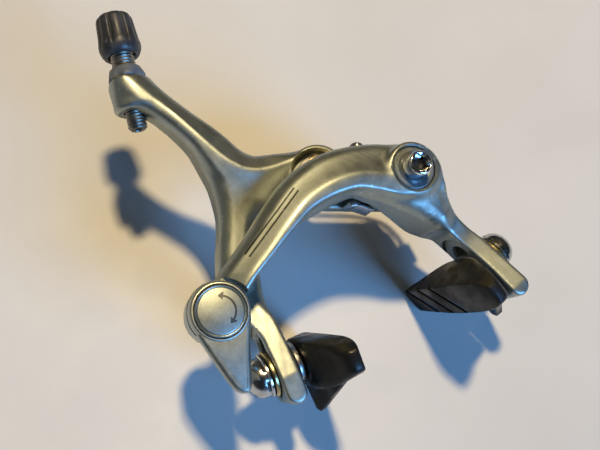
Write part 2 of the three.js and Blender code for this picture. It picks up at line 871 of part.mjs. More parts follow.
const caliper = new THREE.Group();
const last = SPRING_PATH.length - 1;
caliper.add(
  named("rear_arm", rearArm(), ANODISED),
  named("front_arm", frontArm(), ANODISED),
  named("rear_bracket", rearBracket(), ANODISED),
  named("centre_bolt", centreBolt(), STEEL),
  named("centre_pivot_nut", centreNut(), BRASS),
  named("centre_pivot_washer", disc(6.6, 4.3, -19.7, -18.9, 0, 0), STEEL),
  named("centre_thrust_washer", disc(6.8, 4.3, -9.6, -8.9, 0, 0, 24, 0), DARK_STEEL),
  named("seat_washer", disc(SEAT_R, MOUNT_THREAD_R + GAP, -2.0, 0, 0, 0), DARK_STEEL),
  named("side_pivot_bolt", sideBolt(), CHROME),
  named("side_pivot_collar", disc(6.4, 3.3, -33.8, -32.1, SIDE.x, SIDE.y), DARK_STEEL),
  named("side_pivot_sleeve", disc(4.3, 3.3, -31.6, -9.2, SIDE.x, SIDE.y, 20, 0), BRASS),
  named("side_thrust_washer", disc(6.8, 4.6, -9.6, -8.9, SIDE.x, SIDE.y, 24, 0), DARK_STEEL),
  named("return_spring", springWire(), STEEL),
  named("open_stop_plate", stopPlate(), GREY),
  named("left_spring_slider", springSlider(SPRING_PATH[0], SPRING_PATH[1]), NYLON),
  named("right_spring_slider", springSlider(SPRING_PATH[last], SPRING_PATH[last - 1]), NYLON),
  named(
    "centring_screw",
    screwTube([
      [0, 0],
      [1.0, 0],
      [1.25, 0.5],
      [1.25, 12.0],
      [2.3, 12.0],
      [2.3, 13.4],
      [1.7, 14.0],
      [0, 14.0],
    ]),
    DARK_STEEL,
  ),
  named("adjuster_barrel", adjusterBarrel(), STEEL),
  named("adjuster_knob", adjusterKnob(), KNOB),
  named("adjuster_lock_ring", lockRing(), GREY),
  named("qr_lever", qrLever(), ANODISED),
  named("qr_cap", qrCap(), ANODISED),
  named("qr_spindle", qrShaft(), STEEL),
  named("cable_anchor_washer", anchorWasher(), STEEL),
  named("cable_anchor_bolt", anchorBolt(), STEEL),
  shoeGroup("left", leftFrame, LEFT_SHOE_PITCH),
  shoeGroup("right", rightFrame, RIGHT_SHOE_PITCH),
);

export default caliper;
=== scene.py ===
"""Looks of the dual-pivot rim brake caliper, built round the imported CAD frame.

Lengths in this file are millimetres in the row frame unless a name says otherwise.
"""

import json
import math

import bpy
import bmesh
import numpy as np
from mathutils import Matrix, Vector


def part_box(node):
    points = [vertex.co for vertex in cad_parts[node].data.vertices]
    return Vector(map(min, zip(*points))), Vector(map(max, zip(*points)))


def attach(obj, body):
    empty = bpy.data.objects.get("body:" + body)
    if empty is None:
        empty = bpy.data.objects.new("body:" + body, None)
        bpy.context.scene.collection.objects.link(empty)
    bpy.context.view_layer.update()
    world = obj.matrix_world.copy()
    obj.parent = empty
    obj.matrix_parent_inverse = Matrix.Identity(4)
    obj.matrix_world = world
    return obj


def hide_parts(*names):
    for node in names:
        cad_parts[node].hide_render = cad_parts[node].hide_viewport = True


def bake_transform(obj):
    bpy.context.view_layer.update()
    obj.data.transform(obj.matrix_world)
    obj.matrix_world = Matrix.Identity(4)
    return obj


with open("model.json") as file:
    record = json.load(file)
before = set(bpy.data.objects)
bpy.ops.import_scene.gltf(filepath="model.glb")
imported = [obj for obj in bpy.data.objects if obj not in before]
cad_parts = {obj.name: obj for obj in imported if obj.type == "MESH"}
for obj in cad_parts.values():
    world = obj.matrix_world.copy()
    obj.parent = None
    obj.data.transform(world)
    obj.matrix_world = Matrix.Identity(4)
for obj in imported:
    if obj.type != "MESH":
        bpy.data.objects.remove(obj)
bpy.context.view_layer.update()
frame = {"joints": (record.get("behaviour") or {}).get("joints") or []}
SCENE = bpy.context.scene
MM = 0.001
JOINTS = {joint["name"]: joint for joint in frame["joints"]}
VOXEL = 0.4


# ---------- facts read from the frame ----------
def joint_place(name):
    return Vector(JOINTS[name]["pos_m"]) / MM


def joint_axis(name):
    return Vector(JOINTS[name]["axis"]).normalized()


def box(node):
    low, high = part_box(node)
    return low / MM, high / MM


def span(node, axis=1):
    low, high = box(node)
    return low[axis], high[axis]


def basis(x_axis, y_axis, z_axis, origin):
    turn = Matrix((x_axis, y_axis, z_axis)).transposed().to_4x4()
    turn.translation = origin
    return turn


def along_y(x, z):
    """Local Z runs along +Y through (x, z)."""
    return basis(Vector((1, 0, 0)), Vector((0, 0, -1)), Vector((0, 1, 0)), Vector((x, 0, z)))


def along(axis, origin):
    """Local Z runs along an axis that lies in the XZ plane."""
    back = Vector((0, 1, 0))
    return basis(back.cross(axis), back, axis, origin)


def stud_frame(side):
    """Origin on the blade's mid-plane, X outwards, Y back, Z up the blade."""
    out = joint_axis(side + "_shoe_tilt")
    up = joint_axis(side + "_shoe_height")
    return basis(out, Vector((0, 1, 0)), up, joint_place(side + "_shoe_tilt"))


def stud_turning(side):
    """Local Z runs outwards along the stud."""
    shoe = stud_frame(side)
    out = shoe.col[0].to_3d()
    up = shoe.col[2].to_3d()
    return basis(up, out.cross(up), out, shoe.translation)


CENTRE = joint_place("rear_arm_pivot")
SIDE = joint_place("front_arm_pivot")
QR = joint_place("qr_lever_turn")
BARREL_AXIS = joint_axis("adjuster_travel")
KNOB_PIVOT = 30.0
BARREL = along(BARREL_AXIS, joint_place("adjuster_knob_turn") - BARREL_AXIS * KNOB_PIVOT)
SCREW = along(joint_axis("centring_screw_turn"), joint_place("centring_screw_turn"))
AT_CENTRE = along_y(CENTRE.x, CENTRE.z)
AT_SIDE = along_y(SIDE.x, SIDE.z)
AT_QR = along_y(QR.x, QR.z)


# ---------- meshes ----------
def make(name, points, faces, at=None):
    """A mesh object from points in millimetres, faces out."""
    place = at or Matrix.Identity(4)
    mesh = bpy.data.meshes.new(name)
    mesh.from_pydata([(place @ Vector(p)) * MM for p in points], [], faces)
    tidy = bmesh.new()
    tidy.from_mesh(mesh)
    bmesh.ops.remove_doubles(tidy, verts=tidy.verts, dist=1e-7)
    bmesh.ops.recalc_face_normals(tidy, faces=tidy.faces)
    if tidy.calc_volume(signed=True) < 0:
        bmesh.ops.reverse_faces(tidy, faces=tidy.faces)
    tidy.to_mesh(mesh)
    tidy.free()
    obj = bpy.data.objects.new(name, mesh)
    SCENE.collection.objects.link(obj)
    return obj


def settle(obj):
    """Applies the modifiers."""
    graph = bpy.context.evaluated_depsgraph_get()
    mesh = bpy.data.meshes.new_from_object(obj.evaluated_get(graph))
    obj.modifiers.clear()
    obj.data = mesh
    return obj


def smooth(obj, angle=32):
    obj.data.shade_smooth()
    obj.data.set_sharp_from_angle(angle=math.radians(angle))
    return obj


def bevel(obj, width, segments=2, angle=32):
    step = obj.modifiers.new("bevel", "BEVEL")
    step.width = width * MM
    step.segments = segments
    step.limit_method = "ANGLE"
    step.angle_limit = math.radians(angle)
    step.use_clamp_overlap = True
    return settle(obj)


def revolve(name, rings, at, segments=72, loop=False):
    """A solid of rings (radius, height) about local Z; a radius may be a function of turn and height."""
    points = []
    rows = []
    for radius, height in rings:
        if radius == 0:
            rows.append([len(points)] * segments)
            points.append((0, 0, height))
            continue
        rows.append(list(range(len(points), len(points) + segments)))
        for i in range(segments):
            turn = 2 * math.pi * i / segments
            r = radius(turn, height) if callable(radius) else radius
            points.append((r * math.cos(turn), r * math.sin(turn), height))
    pairs = list(zip(rows, rows[1:]))
    if loop:
        pairs.append((rows[-1], rows[0]))
    faces = []
    for low, high in pairs:
        for i in range(segments):
            k = (i + 1) % segments
            corners = []
            for corner in (low[i], low[k], high[k], high[i]):
                if corner not in corners:
                    corners.append(corner)
            if len(corners) > 2:
                faces.append(corners)
    return make(name, points, faces, at)


def drill(name, radius, low, high, at, segments=64):
    """A plain cylinder about local Z, to cut with."""
    return revolve(name, [(0, low), (radius, low), (radius, high), (0, high)], at, segments)


def thread(outer, depth, pitch=1.0):
    """Radius of a V thread."""

    def radius(turn, height):
        phase = (height / pitch - turn / (2 * math.pi)) % 1
        return outer - depth * abs(2 * phase - 1)

    return radius


def hexagon(across_flats, rim=None):
    """Radius of a hexagon, cut back to a round rim."""

    def radius(turn, height):
        sixth = (turn + math.pi / 6) % (math.pi / 3) - math.pi / 6
        flat = across_flats / 2 / math.cos(sixth)
        return flat if rim is None else min(flat, rim)

    return radius


def threaded(start, end, outer=3.0, depth=0.36, pitch=1.0, per_turn=8):
    """Rings along a helical thread."""
    steps = max(2, int((end - start) / pitch * per_turn))
    rings = []
    for i in range(steps + 1):
        rings.append((thread(outer, depth, pitch), start + (end - start) * i / steps))
    return rings


def arc(radius_x, radius_y, x, y, start, end, steps):
    """Points (x, y) of an arc, in degrees."""
    points = []
    for i in range(steps + 1):
        turn = math.radians(start + (end - start) * i / steps)
        points.append((x + radius_x * math.cos(turn), y + radius_y * math.sin(turn)))
    return points


def spline(a, b, c, d, t):
    bend = 2 * a - 5 * b + 4 * c - d
    twist = 3 * b - a - 3 * c + d
    return b + 0.5 * t * (c - a + t * (bend + t * twist))


def between(stations, steps):
    """Smooth rows between stations."""
    rows = []
    last = len(stations) - 1
    for i in range(last):
        before = stations[max(i - 1, 0)]
        after = stations[min(i + 2, last)]
        for k in range(steps):
            t = k / steps
            near = zip(before, stations[i], stations[i + 1], after)
            rows.append([spline(a, b, c, d, t) for a, b, c, d in near])
    rows.append(list(stations[last]))
    return rows


def skin(name, rings, at=None):
    """Closes a stack of equal rings."""
    count = len(rings[0])
    points = [p for ring in rings for p in ring]
    faces = []
    for i in range(len(rings) - 1):
        for j in range(count):
            k = (j + 1) % count
            faces.append((i * count + j, i * count + k, (i + 1) * count + k, (i + 1) * count + j))
    faces.append(tuple(range(count)))
    top = (len(rings) - 1) * count
    faces.append(tuple(range(top, top + count)))
    return make(name, points, faces, at)


def meet(a, b, radius):
    """The overlap of two distance fields, with a rounded edge."""
    corner = np.hypot(np.maximum(a + radius, 0), np.maximum(b + radius, 0))
    return np.minimum(-radius, np.maximum(a, b)) + corner


def fade(value, start, end):
    t = np.clip((value - start) / (end - start), 0, 1)
    return t * t * (3 - 2 * t)


def crest_front(distance, above, below, softness):
    """How far a forging's front falls back from its crest; a side is (slope, deepest fall)."""
    away = np.sqrt(distance * distance + softness * softness) - softness
    falls = []
    for slope, most in (below, above):
        falls.append(most * (1 - np.exp(-away * slope / most)))
    return np.where(distance > 0, falls[1], falls[0])


class Forging:
    """A smooth metal body grown as a distance field on a grid; its plan is X and Z, its front -Y."""

    def __init__(self, low, high):
        axes = [np.arange(a, b, VOXEL) for a, b in zip(low, high)]
        self.low = np.array(low, dtype=float)
        self.x = axes[0][:, None, None]
        self.y = axes[1][None, :, None]
        self.z = axes[2][None, None, :]
        self.field = np.full([len(axis) for axis in axes], 9.0)

    def stroke(self, stations, steps=8):
        """Plan distance beyond a stroke's edge, place across it (left is plus), and its other columns."""
        rows = between(stations, steps)
        best = None
        for start, end in zip(rows, rows[1:]):
            run = (end[0] - start[0], end[1] - start[1])
            reach = (self.x - start[0]) * run[0] + (self.z - start[1]) * run[1]
            t = np.clip(reach / (run[0] ** 2 + run[1] ** 2), 0, 1)
            right = self.x - start[0] - t * run[0]
            up = self.z - start[1] - t * run[1]
            away = np.hypot(right, up)
            side = np.where(run[0] * up - run[1] * right < 0, -1.0, 1.0)
            half, *others = [a + t * (b - a) for a, b in zip(start[2:], end[2:])]
            row = np.stack([away - half, away * side, *others])
            best = row if best is None else np.where(row[0] < best[0], row, best)
        return best

    def disc(self, at, radius):
        return np.hypot(self.x - at.x, self.z - at.z) - radius

    def join(self, solid, blend):
        """Adds a solid with a fillet."""
        mix = np.clip(0.5 + 0.5 * (self.field - solid) / blend, 0, 1)
        self.field = self.field + mix * (solid - self.field) - blend * mix * (1 - mix)

    def plate(self, plan, front, back, edge_front, edge_back, blend=0.01):
        """Adds a plan given depth between its front and back."""
        solid = meet(plan, front - self.y, edge_front)
        self.join(meet(solid, self.y - back, edge_back), blend)

    def boss(self, at, radius, low, high, edge, blend):
        """Adds a round boss about the local Z of a place."""
        turn = at.inverted()
        x, y, z = [row[0] * self.x + row[1] * self.y + row[2] * self.z + row[3] for row in turn[:3]]
        ends = np.abs(z - (low + high) / 2) - (high - low) / 2
        self.join(meet(np.hypot(x, y) - radius, ends, edge), blend)

    def body(self, name, rounds=3):
        """The mesh where the field is zero, one corner in each grid cell that the surface crosses."""
        inside = self.field < 0
        cells = tuple(n - 1 for n in inside.shape)
        total = np.zeros((*cells, 3), dtype=np.float32)
        count = np.zeros(cells, dtype=np.float32)
        crossings = []
        for axis in range(3):
            near = tuple(slice(0, -1) if k == axis else slice(None) for k in range(3))
            far = tuple(slice(1, None) if k == axis else slice(None) for k in range(3))
            hit = inside[near] != inside[far]
            t = np.zeros(hit.shape, dtype=np.float32)
            t[hit] = (self.field[near][hit] / (self.field[near][hit] - self.field[far][hit]))
            crossings.append((hit, inside[near]))
            u, v = [k for k in range(3) if k != axis]
            for du in (0, 1):
                for dv in (0, 1):
                    pick = [slice(None)] * 3
                    pick[u] = slice(du, du + cells[u])
                    pick[v] = slice(dv, dv + cells[v])
                    pick = tuple(pick)
                    count += hit[pick]
                    total[..., axis] += t[pick]
                    total[..., u] += hit[pick] * du
                    total[..., v] += hit[pick] * dv
        used = count > 0
        number = np.full(cells, -1)
        number[used] = np.arange(used.sum())
        points = (np.argwhere(used) + total[used] / count[used][:, None]) * VOXEL + self.low
        faces = []
        for axis, (hit, from_inside) in enumerate(crossings):
            u, v = (axis + 1) % 3, (axis + 2) % 3
            cell = np.argwhere(hit)
            flip = from_inside[hit]
            corners = []
            for du, dv in ((-1, -1), (0, -1), (0, 0), (-1, 0)):
                step = np.zeros(3, dtype=int)
                step[u] = du
                step[v] = dv
                corners.append(number[tuple((cell + step).T)])
            quads = np.stack(corners, axis=1)
            quads[~flip] = quads[~flip][:, ::-1]
            faces.append(quads)
        mesh = bpy.data.meshes.new(name)
        mesh.from_pydata((points * MM).tolist(), [], np.concatenate(faces).tolist())
        mesh.update()
        obj = bpy.data.objects.new(name, mesh)
        SCENE.collection.objects.link(obj)
        ease = obj.modifiers.new("ease", "SMOOTH")
        ease.factor = 0.5
        ease.iterations = rounds
        return settle(obj)


def combine(body, tools, operation="DIFFERENCE"):
    for tool in tools:
        step = body.modifiers.new("cut", "BOOLEAN")
        step.solver = "MANIFOLD"
        step.operation = operation
        step.object = tool
        settle(body)
        bpy.data.objects.remove(tool)
    return body


def stadium(half, low, high, steps=12):
    """Outline (y, z) of a slot with round ends."""
    top = arc(half, half, 0, high, 0, 180, steps)
    return top + arc(half, half, 0, low, 180, 360, steps)


def slot_tool(side, low, high, half=3.25, blade=3.2):
    """Cutter for a blade's slot and the flat seats round it, flared at both faces."""
    rings = []
    seat, seat_grow = 3.42, 4.1
    flare = ((8.0, seat_grow), (seat, seat_grow), (3.4, 0.6), (blade - 0.05, 0.45), (blade - 0.5, 0))
    rows = [(-x, grow) for x, grow in flare] + [(x, grow) for x, grow in reversed(flare)]
    for x, grow in rows:
        rings.append([(x, y, z) for y, z in stadium(half + grow, low, high)])
    return skin("slot_tool", rings, stud_frame(side))


def prism(name, outline, y0, y1, edge=0.4, at=None, segments=2):
    """An outline in X and Z given depth along Y, with rounded edges."""
    if not edge:
        return skin(name, [[(x, y0, z) for x, z in outline], [(x, y1, z) for x, z in outline]], at)
    rings = []
    for y, way in ((y0, 1), (y1, -1)):
        stack = []
        for k in range(segments + 1):
            turn = math.pi / 2 * k / segments
            inset = edge * (1 - math.sin(turn))
            stack.append([(x, y + way * edge * (1 - math.cos(turn)), z) for x, z in shrunk(outline, inset)])
        rings += stack if way > 0 else stack[::-1]
    return skin(name, rings, at)


def shrunk(outline, inset):
    """A closed outline moved inwards."""
    area = sum(a[0] * b[1] - b[0] * a[1] for a, b in zip(outline, outline[1:] + outline[:1]))
    way = 1 if area > 0 else -1
    points = []
    for i, (x, z) in enumerate(outline):
        before = Vector(outline[i - 1])
        after = Vector(outline[(i + 1) % len(outline)])
        run = (after - before).normalized()
        points.append((x - way * run.y * inset, z + way * run.x * inset))
    return points


def round_corners(outline, radius, steps=5):
    """Replaces each corner of a closed outline by an arc-like curve."""
    points = []
    count = len(outline)
    for i, corner in enumerate(outline):
        here = Vector(corner)
        before = Vector(outline[i - 1]) - here
        after = Vector(outline[(i + 1) % count]) - here
        reach = min(radius, before.length / 2.2, after.length / 2.2)
        start = here + before.normalized() * reach
        end = here + after.normalized() * reach
        for k in range(steps + 1):
            t = k / steps
            p = start * (1 - t) ** 2 + here * 2 * t * (1 - t) + end * t * t
            points.append((p.x, p.y))
    return points


def tube(name, path, radius, part=slice(None), sides=20, steps=8):
    """A round wire along a path, or along a part of its rows."""
    rows = [Vector(p) for p in between(path, steps)][part]
    rings = []
    up = Vector((0, 1, 0))
    for i, here in enumerate(rows):
        run = (rows[min(i + 1, len(rows) - 1)] - rows[max(i - 1, 0)]).normalized()
        right = run.cross(up).normalized()
        over = right.cross(run)
        ring = []
        for j in range(sides):
            turn = 2 * math.pi * j / sides
            ring.append(here + radius * (math.cos(turn) * right + math.sin(turn) * over))
        rings.append(ring)
    return skin(name, rings)


# ---------- materials ----------
class Nodes:
    """Small helper round one material's node tree."""

    def __init__(self, name):
        self.material = bpy.data.materials.new(name)
        self.material.use_nodes = True
        self.tree = self.material.node_tree
        self.shader = self.tree.nodes["Principled BSDF"]
        self.place = self.add("ShaderNodeTexCoord").outputs["Object"]

    def add(self, kind, **values):
        node = self.tree.nodes.new(kind)
        for key, value in values.items():
            setattr(node, key, value)
        return node

    def link(self, start, end):
        self.tree.links.new(start, end)

    def feed(self, socket, value):
        if isinstance(value, bpy.types.NodeSocket):
            self.link(value, socket)
        else:
            socket.default_value = value

    def noise(self, scale, detail=4.0, stretch=(1, 1, 1), rough=0.55, distortion=0.0):
        place = self.place
        if stretch != (1, 1, 1):
            mapping = self.add("ShaderNodeMapping")
            mapping.inputs["Scale"].default_value = stretch
            self.link(self.place, mapping.inputs["Vector"])
            place = mapping.outputs["Vector"]
        node = self.add("ShaderNodeTexNoise")
        node.inputs["Scale"].default_value = scale
        node.inputs["Detail"].default_value = detail
        node.inputs["Roughness"].default_value = rough
        node.inputs["Distortion"].default_value = distortion
        self.link(place, node.inputs["Vector"])
        return node.outputs["Fac"]

    def cells(self, scale, feature="F1", stretch=(1, 1, 1)):
        mapping = self.add("ShaderNodeMapping")
        mapping.inputs["Scale"].default_value = stretch
        self.link(self.place, mapping.inputs["Vector"])
        node = self.add("ShaderNodeTexVoronoi", feature=feature)
        node.inputs["Scale"].default_value = scale
        self.link(mapping.outputs["Vector"], node.inputs["Vector"])
        return node.outputs["Distance"]

    def range(self, value, low, high, to_low=0.0, to_high=1.0):
        node = self.add("ShaderNodeMapRange", interpolation_type="SMOOTHSTEP")
        self.link(value, node.inputs["Value"])
        node.inputs["From Min"].default_value = low
        node.inputs["From Max"].default_value = high
        node.inputs["To Min"].default_value = to_low
        node.inputs["To Max"].default_value = to_high
        return node.outputs["Result"]

    def math(self, operation, a, b=0.0):
        node = self.add("ShaderNodeMath", operation=operation)
        self.feed(node.inputs[0], a)
        self.feed(node.inputs[1], b)
        return node.outputs[0]

    def mix(self, factor, a, b):
        node = self.add("ShaderNodeMix", data_type="RGBA")
        self.feed(node.inputs[0], factor)
        self.feed(node.inputs[6], (*a, 1) if isinstance(a, tuple) else a)
        self.feed(node.inputs[7], (*b, 1) if isinstance(b, tuple) else b)
        return node.outputs[2]

    def bump(self, height, strength, distance, normal=None):
        node = self.add("ShaderNodeBump")
        node.inputs["Strength"].default_value = strength
        node.inputs["Distance"].default_value = distance * MM
        self.link(height, node.inputs["Height"])
        if normal is not None:
            self.link(normal, node.inputs["Normal"])
        return node.outputs["Normal"]

    def pointiness(self, low, high):
        return self.range(self.add("ShaderNodeNewGeometry").outputs["Pointiness"], low, high)

    def axis(self, index):
        node = self.add("ShaderNodeSeparateXYZ")
        self.link(self.place, node.inputs[0])
        return node.outputs[index]

    def done(self, colour, rough, normal, metallic):
        self.link(colour, self.shader.inputs["Base Color"])
        self.link(rough, self.shader.inputs["Roughness"])
        self.link(normal, self.shader.inputs["Normal"])
        self.shader.inputs["Metallic"].default_value = metallic
        return self.material


def satin_colour(n):
    """Silver anodising: cloudy, a little grimy, with painted shade darkening the hollows and small dark
    nicks.
    """
    cloud = n.range(n.noise(45, 5), 0.35, 0.7)
    colour = n.mix(cloud, (0.39, 0.425, 0.385), (0.45, 0.485, 0.45))
    speck = n.range(n.noise(1500, 3), 0.35, 0.65, 0.0, 0.4)
    colour = n.mix(speck, colour, (0.30, 0.315, 0.265))
    grime = n.math("MULTIPLY", n.range(n.noise(120, 6), 0.52, 0.75), 0.2)
    colour = n.mix(grime, colour, (0.22, 0.21, 0.14))
    # painted shade: concave hollows are darkened towards a dark olive
    hollow = n.math("MULTIPLY", n.pointiness(0.495, 0.44), 0.7)
    colour = n.mix(hollow, colour, (0.13, 0.12, 0.07))
    worn = n.math("MULTIPLY", n.pointiness(0.53, 0.60), 0.6)
    colour = n.mix(worn, colour, (0.60, 0.62, 0.57))
    place = n.range(n.noise(60, 2), 0.56, 0.66)
    nick = n.math("MULTIPLY", n.range(n.cells(620, stretch=(1, 1, 1.6)), 0.13, 0.06), place)
    return n.mix(nick, colour, (0.09, 0.06, 0.035)), nick


def satin_surface(n, nick):
    """Roughness and the fine blasted grain under the anodising."""
    rough = n.range(n.noise(260, 5), 0.3, 0.7, 0.40, 0.48)
    rough = n.math("ADD", rough, n.math("MULTIPLY", nick, 0.3))
    grain = n.bump(n.noise(2400, 3), 0.22, 0.05)
    wave = n.bump(n.noise(120, 2), 0.05, 0.2, grain)
    return rough, n.bump(n.math("SUBTRACT", 1.0, nick), 0.6, 0.06, wave)


def satin(name):
    n = Nodes(name)
    colour, nick = satin_colour(n)
    rough, normal = satin_surface(n, nick)
    return n.done(colour, rough, normal, 1.0)


def metal(name, dark, light, rough, stained=0.3, scratch=0.25):
    """Turned or plated metal with fine scratches and a little tarnish."""
    stain = (0.12, 0.09, 0.05)
    n = Nodes(name)
    colour = n.mix(n.range(n.noise(180, 4), 0.35, 0.65), dark, light)
    tarnish = n.math("MULTIPLY", n.range(n.noise(300, 6), 0.52, 0.7), stained)
    colour = n.mix(tarnish, colour, stain)
    hollow = n.math("MULTIPLY", n.pointiness(0.49, 0.42), 0.8)
    colour = n.mix(hollow, colour, stain)
    roughness = n.range(n.noise(420, 5), 0.3, 0.7, rough[0], rough[1])
    lines = n.noise(900, 3, (1, 0.06, 1))
    normal = n.bump(lines, scratch, 0.03, n.bump(n.noise(2600, 2), scratch * 0.5, 0.02))
    return n.done(colour, roughness, normal, 1.0)


def rubber(name):
    """Black rubber with mould grain, brake dust on what faces up, and shiny rubbed patches."""
    n = Nodes(name)
    n_up = n.add("ShaderNodeSeparateXYZ")
    n.link(n.add("ShaderNodeNewGeometry").outputs["Normal"], n_up.inputs[0])
    up = n.range(n_up.outputs[2], 0.25, 0.85)
    colour = n.mix(n.noise(240, 4), (0.006, 0.006, 0.006), (0.015, 0.015, 0.014))
    dust = n.math("MULTIPLY", n.range(n.noise(160, 6), 0.42, 0.66), up)
    colour = n.mix(n.math("MULTIPLY", dust, 0.6), colour, (0.036, 0.034, 0.023))
    grey = n.range(n.noise(420, 6), 0.58, 0.74, 0.0, 0.35)
    colour = n.mix(grey, colour, (0.035, 0.035, 0.033))
    rub = n.range(n.noise(110, 3), 0.38, 0.62, 0.32, 0.62)
    rough = n.math("MAXIMUM", rub, n.math("MULTIPLY", dust, 0.9))
    grain = n.bump(n.noise(2600, 4), 0.25, 0.05)
    normal = n.bump(n.noise(420, 5), 0.3, 0.16, grain)
    n.shader.inputs["Specular IOR Level"].default_value = 0.25
    return n.done(colour, rough, normal, 0.0)


def plastic(name, dark, light, rough, grain=0.2):
    """Moulded plastic with handling shine and pale scuffs on the edges."""
    n = Nodes(name)
    colour = n.mix(n.range(n.noise(150, 5), 0.35, 0.65), dark, light)
    scuff = n.math("MULTIPLY", n.pointiness(0.52, 0.58), n.range(n.noise(520, 5), 0.4, 0.6))
    pale = tuple(min(1.0, c * 2.2 + 0.05) for c in light)
    colour = n.mix(n.math("MULTIPLY", scuff, 0.7), colour, pale)
    roughness = n.range(n.noise(300, 4), 0.3, 0.7, rough[0], rough[1])
    normal = n.bump(n.noise(3200, 3), grain, 0.04, n.bump(n.noise(300, 3), 0.1, 0.1))
    return n.done(colour, roughness, normal, 0.0)


def striped_satin(name, start, end, lines, width, front):
    """The satin finish with printed pinstripes between two points of the arm's face."""
    n = Nodes(name)
    colour, nick = satin_colour(n)
    run = Vector((end[0] - start[0], end[1] - start[1]))
    length = run.length
    run.normalize()
    x = n.math("SUBTRACT", n.axis(0), start[0] * MM)
    z = n.math("SUBTRACT", n.axis(2), start[1] * MM)
    lengthways = n.math("ADD", n.math("MULTIPLY", x, run.x), n.math("MULTIPLY", z, run.y))
    across = n.math("SUBTRACT", n.math("MULTIPLY", z, run.x), n.math("MULTIPLY", x, run.y))
    middle = n.math("ABSOLUTE", n.math("SUBTRACT", lengthways, length / 2 * MM))
    inside = n.range(middle, (length / 2 + 0.1) * MM, length / 2 * MM)
    inside = n.math("MULTIPLY", inside, n.range(n.axis(1), (front + 0.2) * MM, front * MM))
    ink = None
    for offset in lines:
        apart = n.math("ABSOLUTE", n.math("SUBTRACT", across, offset * MM))
        line = n.range(apart, (width / 2 + 0.06) * MM, (width / 2 - 0.02) * MM)
        ink = line if ink is None else n.math("MAXIMUM", ink, line)
    ink = n.math("MULTIPLY", ink, inside)
    ink = n.math("MULTIPLY", ink, n.range(n.noise(900, 4), 0.3, 0.42, 0.55, 0.9))
    colour = n.mix(ink, colour, (0.035, 0.035, 0.035))
    rough, normal = satin_surface(n, nick)
    return n.done(colour, rough, normal, 1.0)


SATIN = satin("satin_anodised")
MARKED = striped_satin("satin_anodised_striped", (-35.0, -15.4), (-13.5, -4.0), (0.1, 1.5), 0.5, -33)
CHROME = metal("chrome_plate", (0.74, 0.75, 0.76), (0.86, 0.87, 0.88), (0.1, 0.18), 0.25, 0.1)
STEEL = metal("plain_steel", (0.42, 0.41, 0.40), (0.58, 0.57, 0.55), (0.24, 0.42), stained=0.5)
WORN_CHROME = metal("worn_chrome", (0.46, 0.47, 0.47), (0.62, 0.63, 0.63), (0.16, 0.26), 0.4, 0.15)
SLATE = metal("slate_anodised", (0.17, 0.195, 0.21), (0.23, 0.26, 0.28), (0.46, 0.58))
DARK_STEEL = metal("dark_steel", (0.15, 0.16, 0.17), (0.26, 0.27, 0.28), (0.3, 0.48))
GOLD = metal("tarnished_brass", (0.40, 0.31, 0.14), (0.60, 0.50, 0.27), (0.22, 0.4), stained=0.6)
RUBBER = rubber("moulded_rubber")
KNOB = plastic("charcoal_plastic", (0.022, 0.023, 0.026), (0.045, 0.046, 0.05), (0.34, 0.5))
GREY = plastic("grey_plastic", (0.10, 0.115, 0.14), (0.145, 0.165, 0.19), (0.42, 0.6))
BROWNED = metal("browned_steel", (0.20, 0.19, 0.16), (0.32, 0.30, 0.26), (0.34, 0.5), stained=0.5)
NYLON = plastic("black_nylon", (0.012, 0.012, 0.012), (0.03, 0.03, 0.03), (0.4, 0.6))


def dress(obj, look, body, slot, *nodes):
    """Gives a finished piece its look and its place in the frame."""
    obj.data.materials.clear()
    obj.data.materials.append(look)
    if body:
        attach(obj, body)
    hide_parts(*nodes)
    return obj


# ---------- rear arm ----------
# Stations: x, z, half width.
REAR_LIMB = [
    (-40.7, 48, 4.6), (-38.1, 43.2, 4.9), (-35.3, 38, 4.6), (-31.5, 31, 4.6), (-28, 24, 5.4),
    (-25.9, 16.5, 6.6), (-26, 9, 6.2), (-27.9, 1.8, 5.6), (-30.5, -5, 5.7), (-34.2, -13, 6.1),
    (-36.8, -20.5, 6.4), (-37.8, -27.2, 5.2), (-36.8, -32.4, 3.8), (-36.2, -37, 3.25),
    (-36.4, -42, 3.2), (-36.9, -49, 3.2), (-37.4, -55.4, 3.2),
]
REAR_WEB = [
    (-19, 4.6, 8.6), (-14, 2.6, 10.4), (-7, 0.9, 9.9), (0, 0, 9.6),
]
# Stations: x, z, unused width, front.
REAR_CREST = [
    (-44, 52, 0, -22.8), (-39.6, 44.6, 0, -23.2), (-36.9, 39.4, 0, -23.5), (-33.8, 33.4, 0, -23.7),
    (-31, 27.2, 0, -23.7), (-28.3, 21, 0, -23.6), (-25, 14.6, 0, -23.4), (-20.8, 10, 0, -23.1),
    (-15.2, 7.8, 0, -22.7), (-8, 7.2, 0, -22.3), (2, 7, 0, -22),
]
REAR_TAIL = [[4.0, -7.4, 1.5], [11.4, -7.4, 1.4]]
HUB_R = 9.6
BOSS_FOOT = 5.6
BOSS_TOP = 15.1
BORE_R = 3.25
NUT_RECESS_R = 8.0


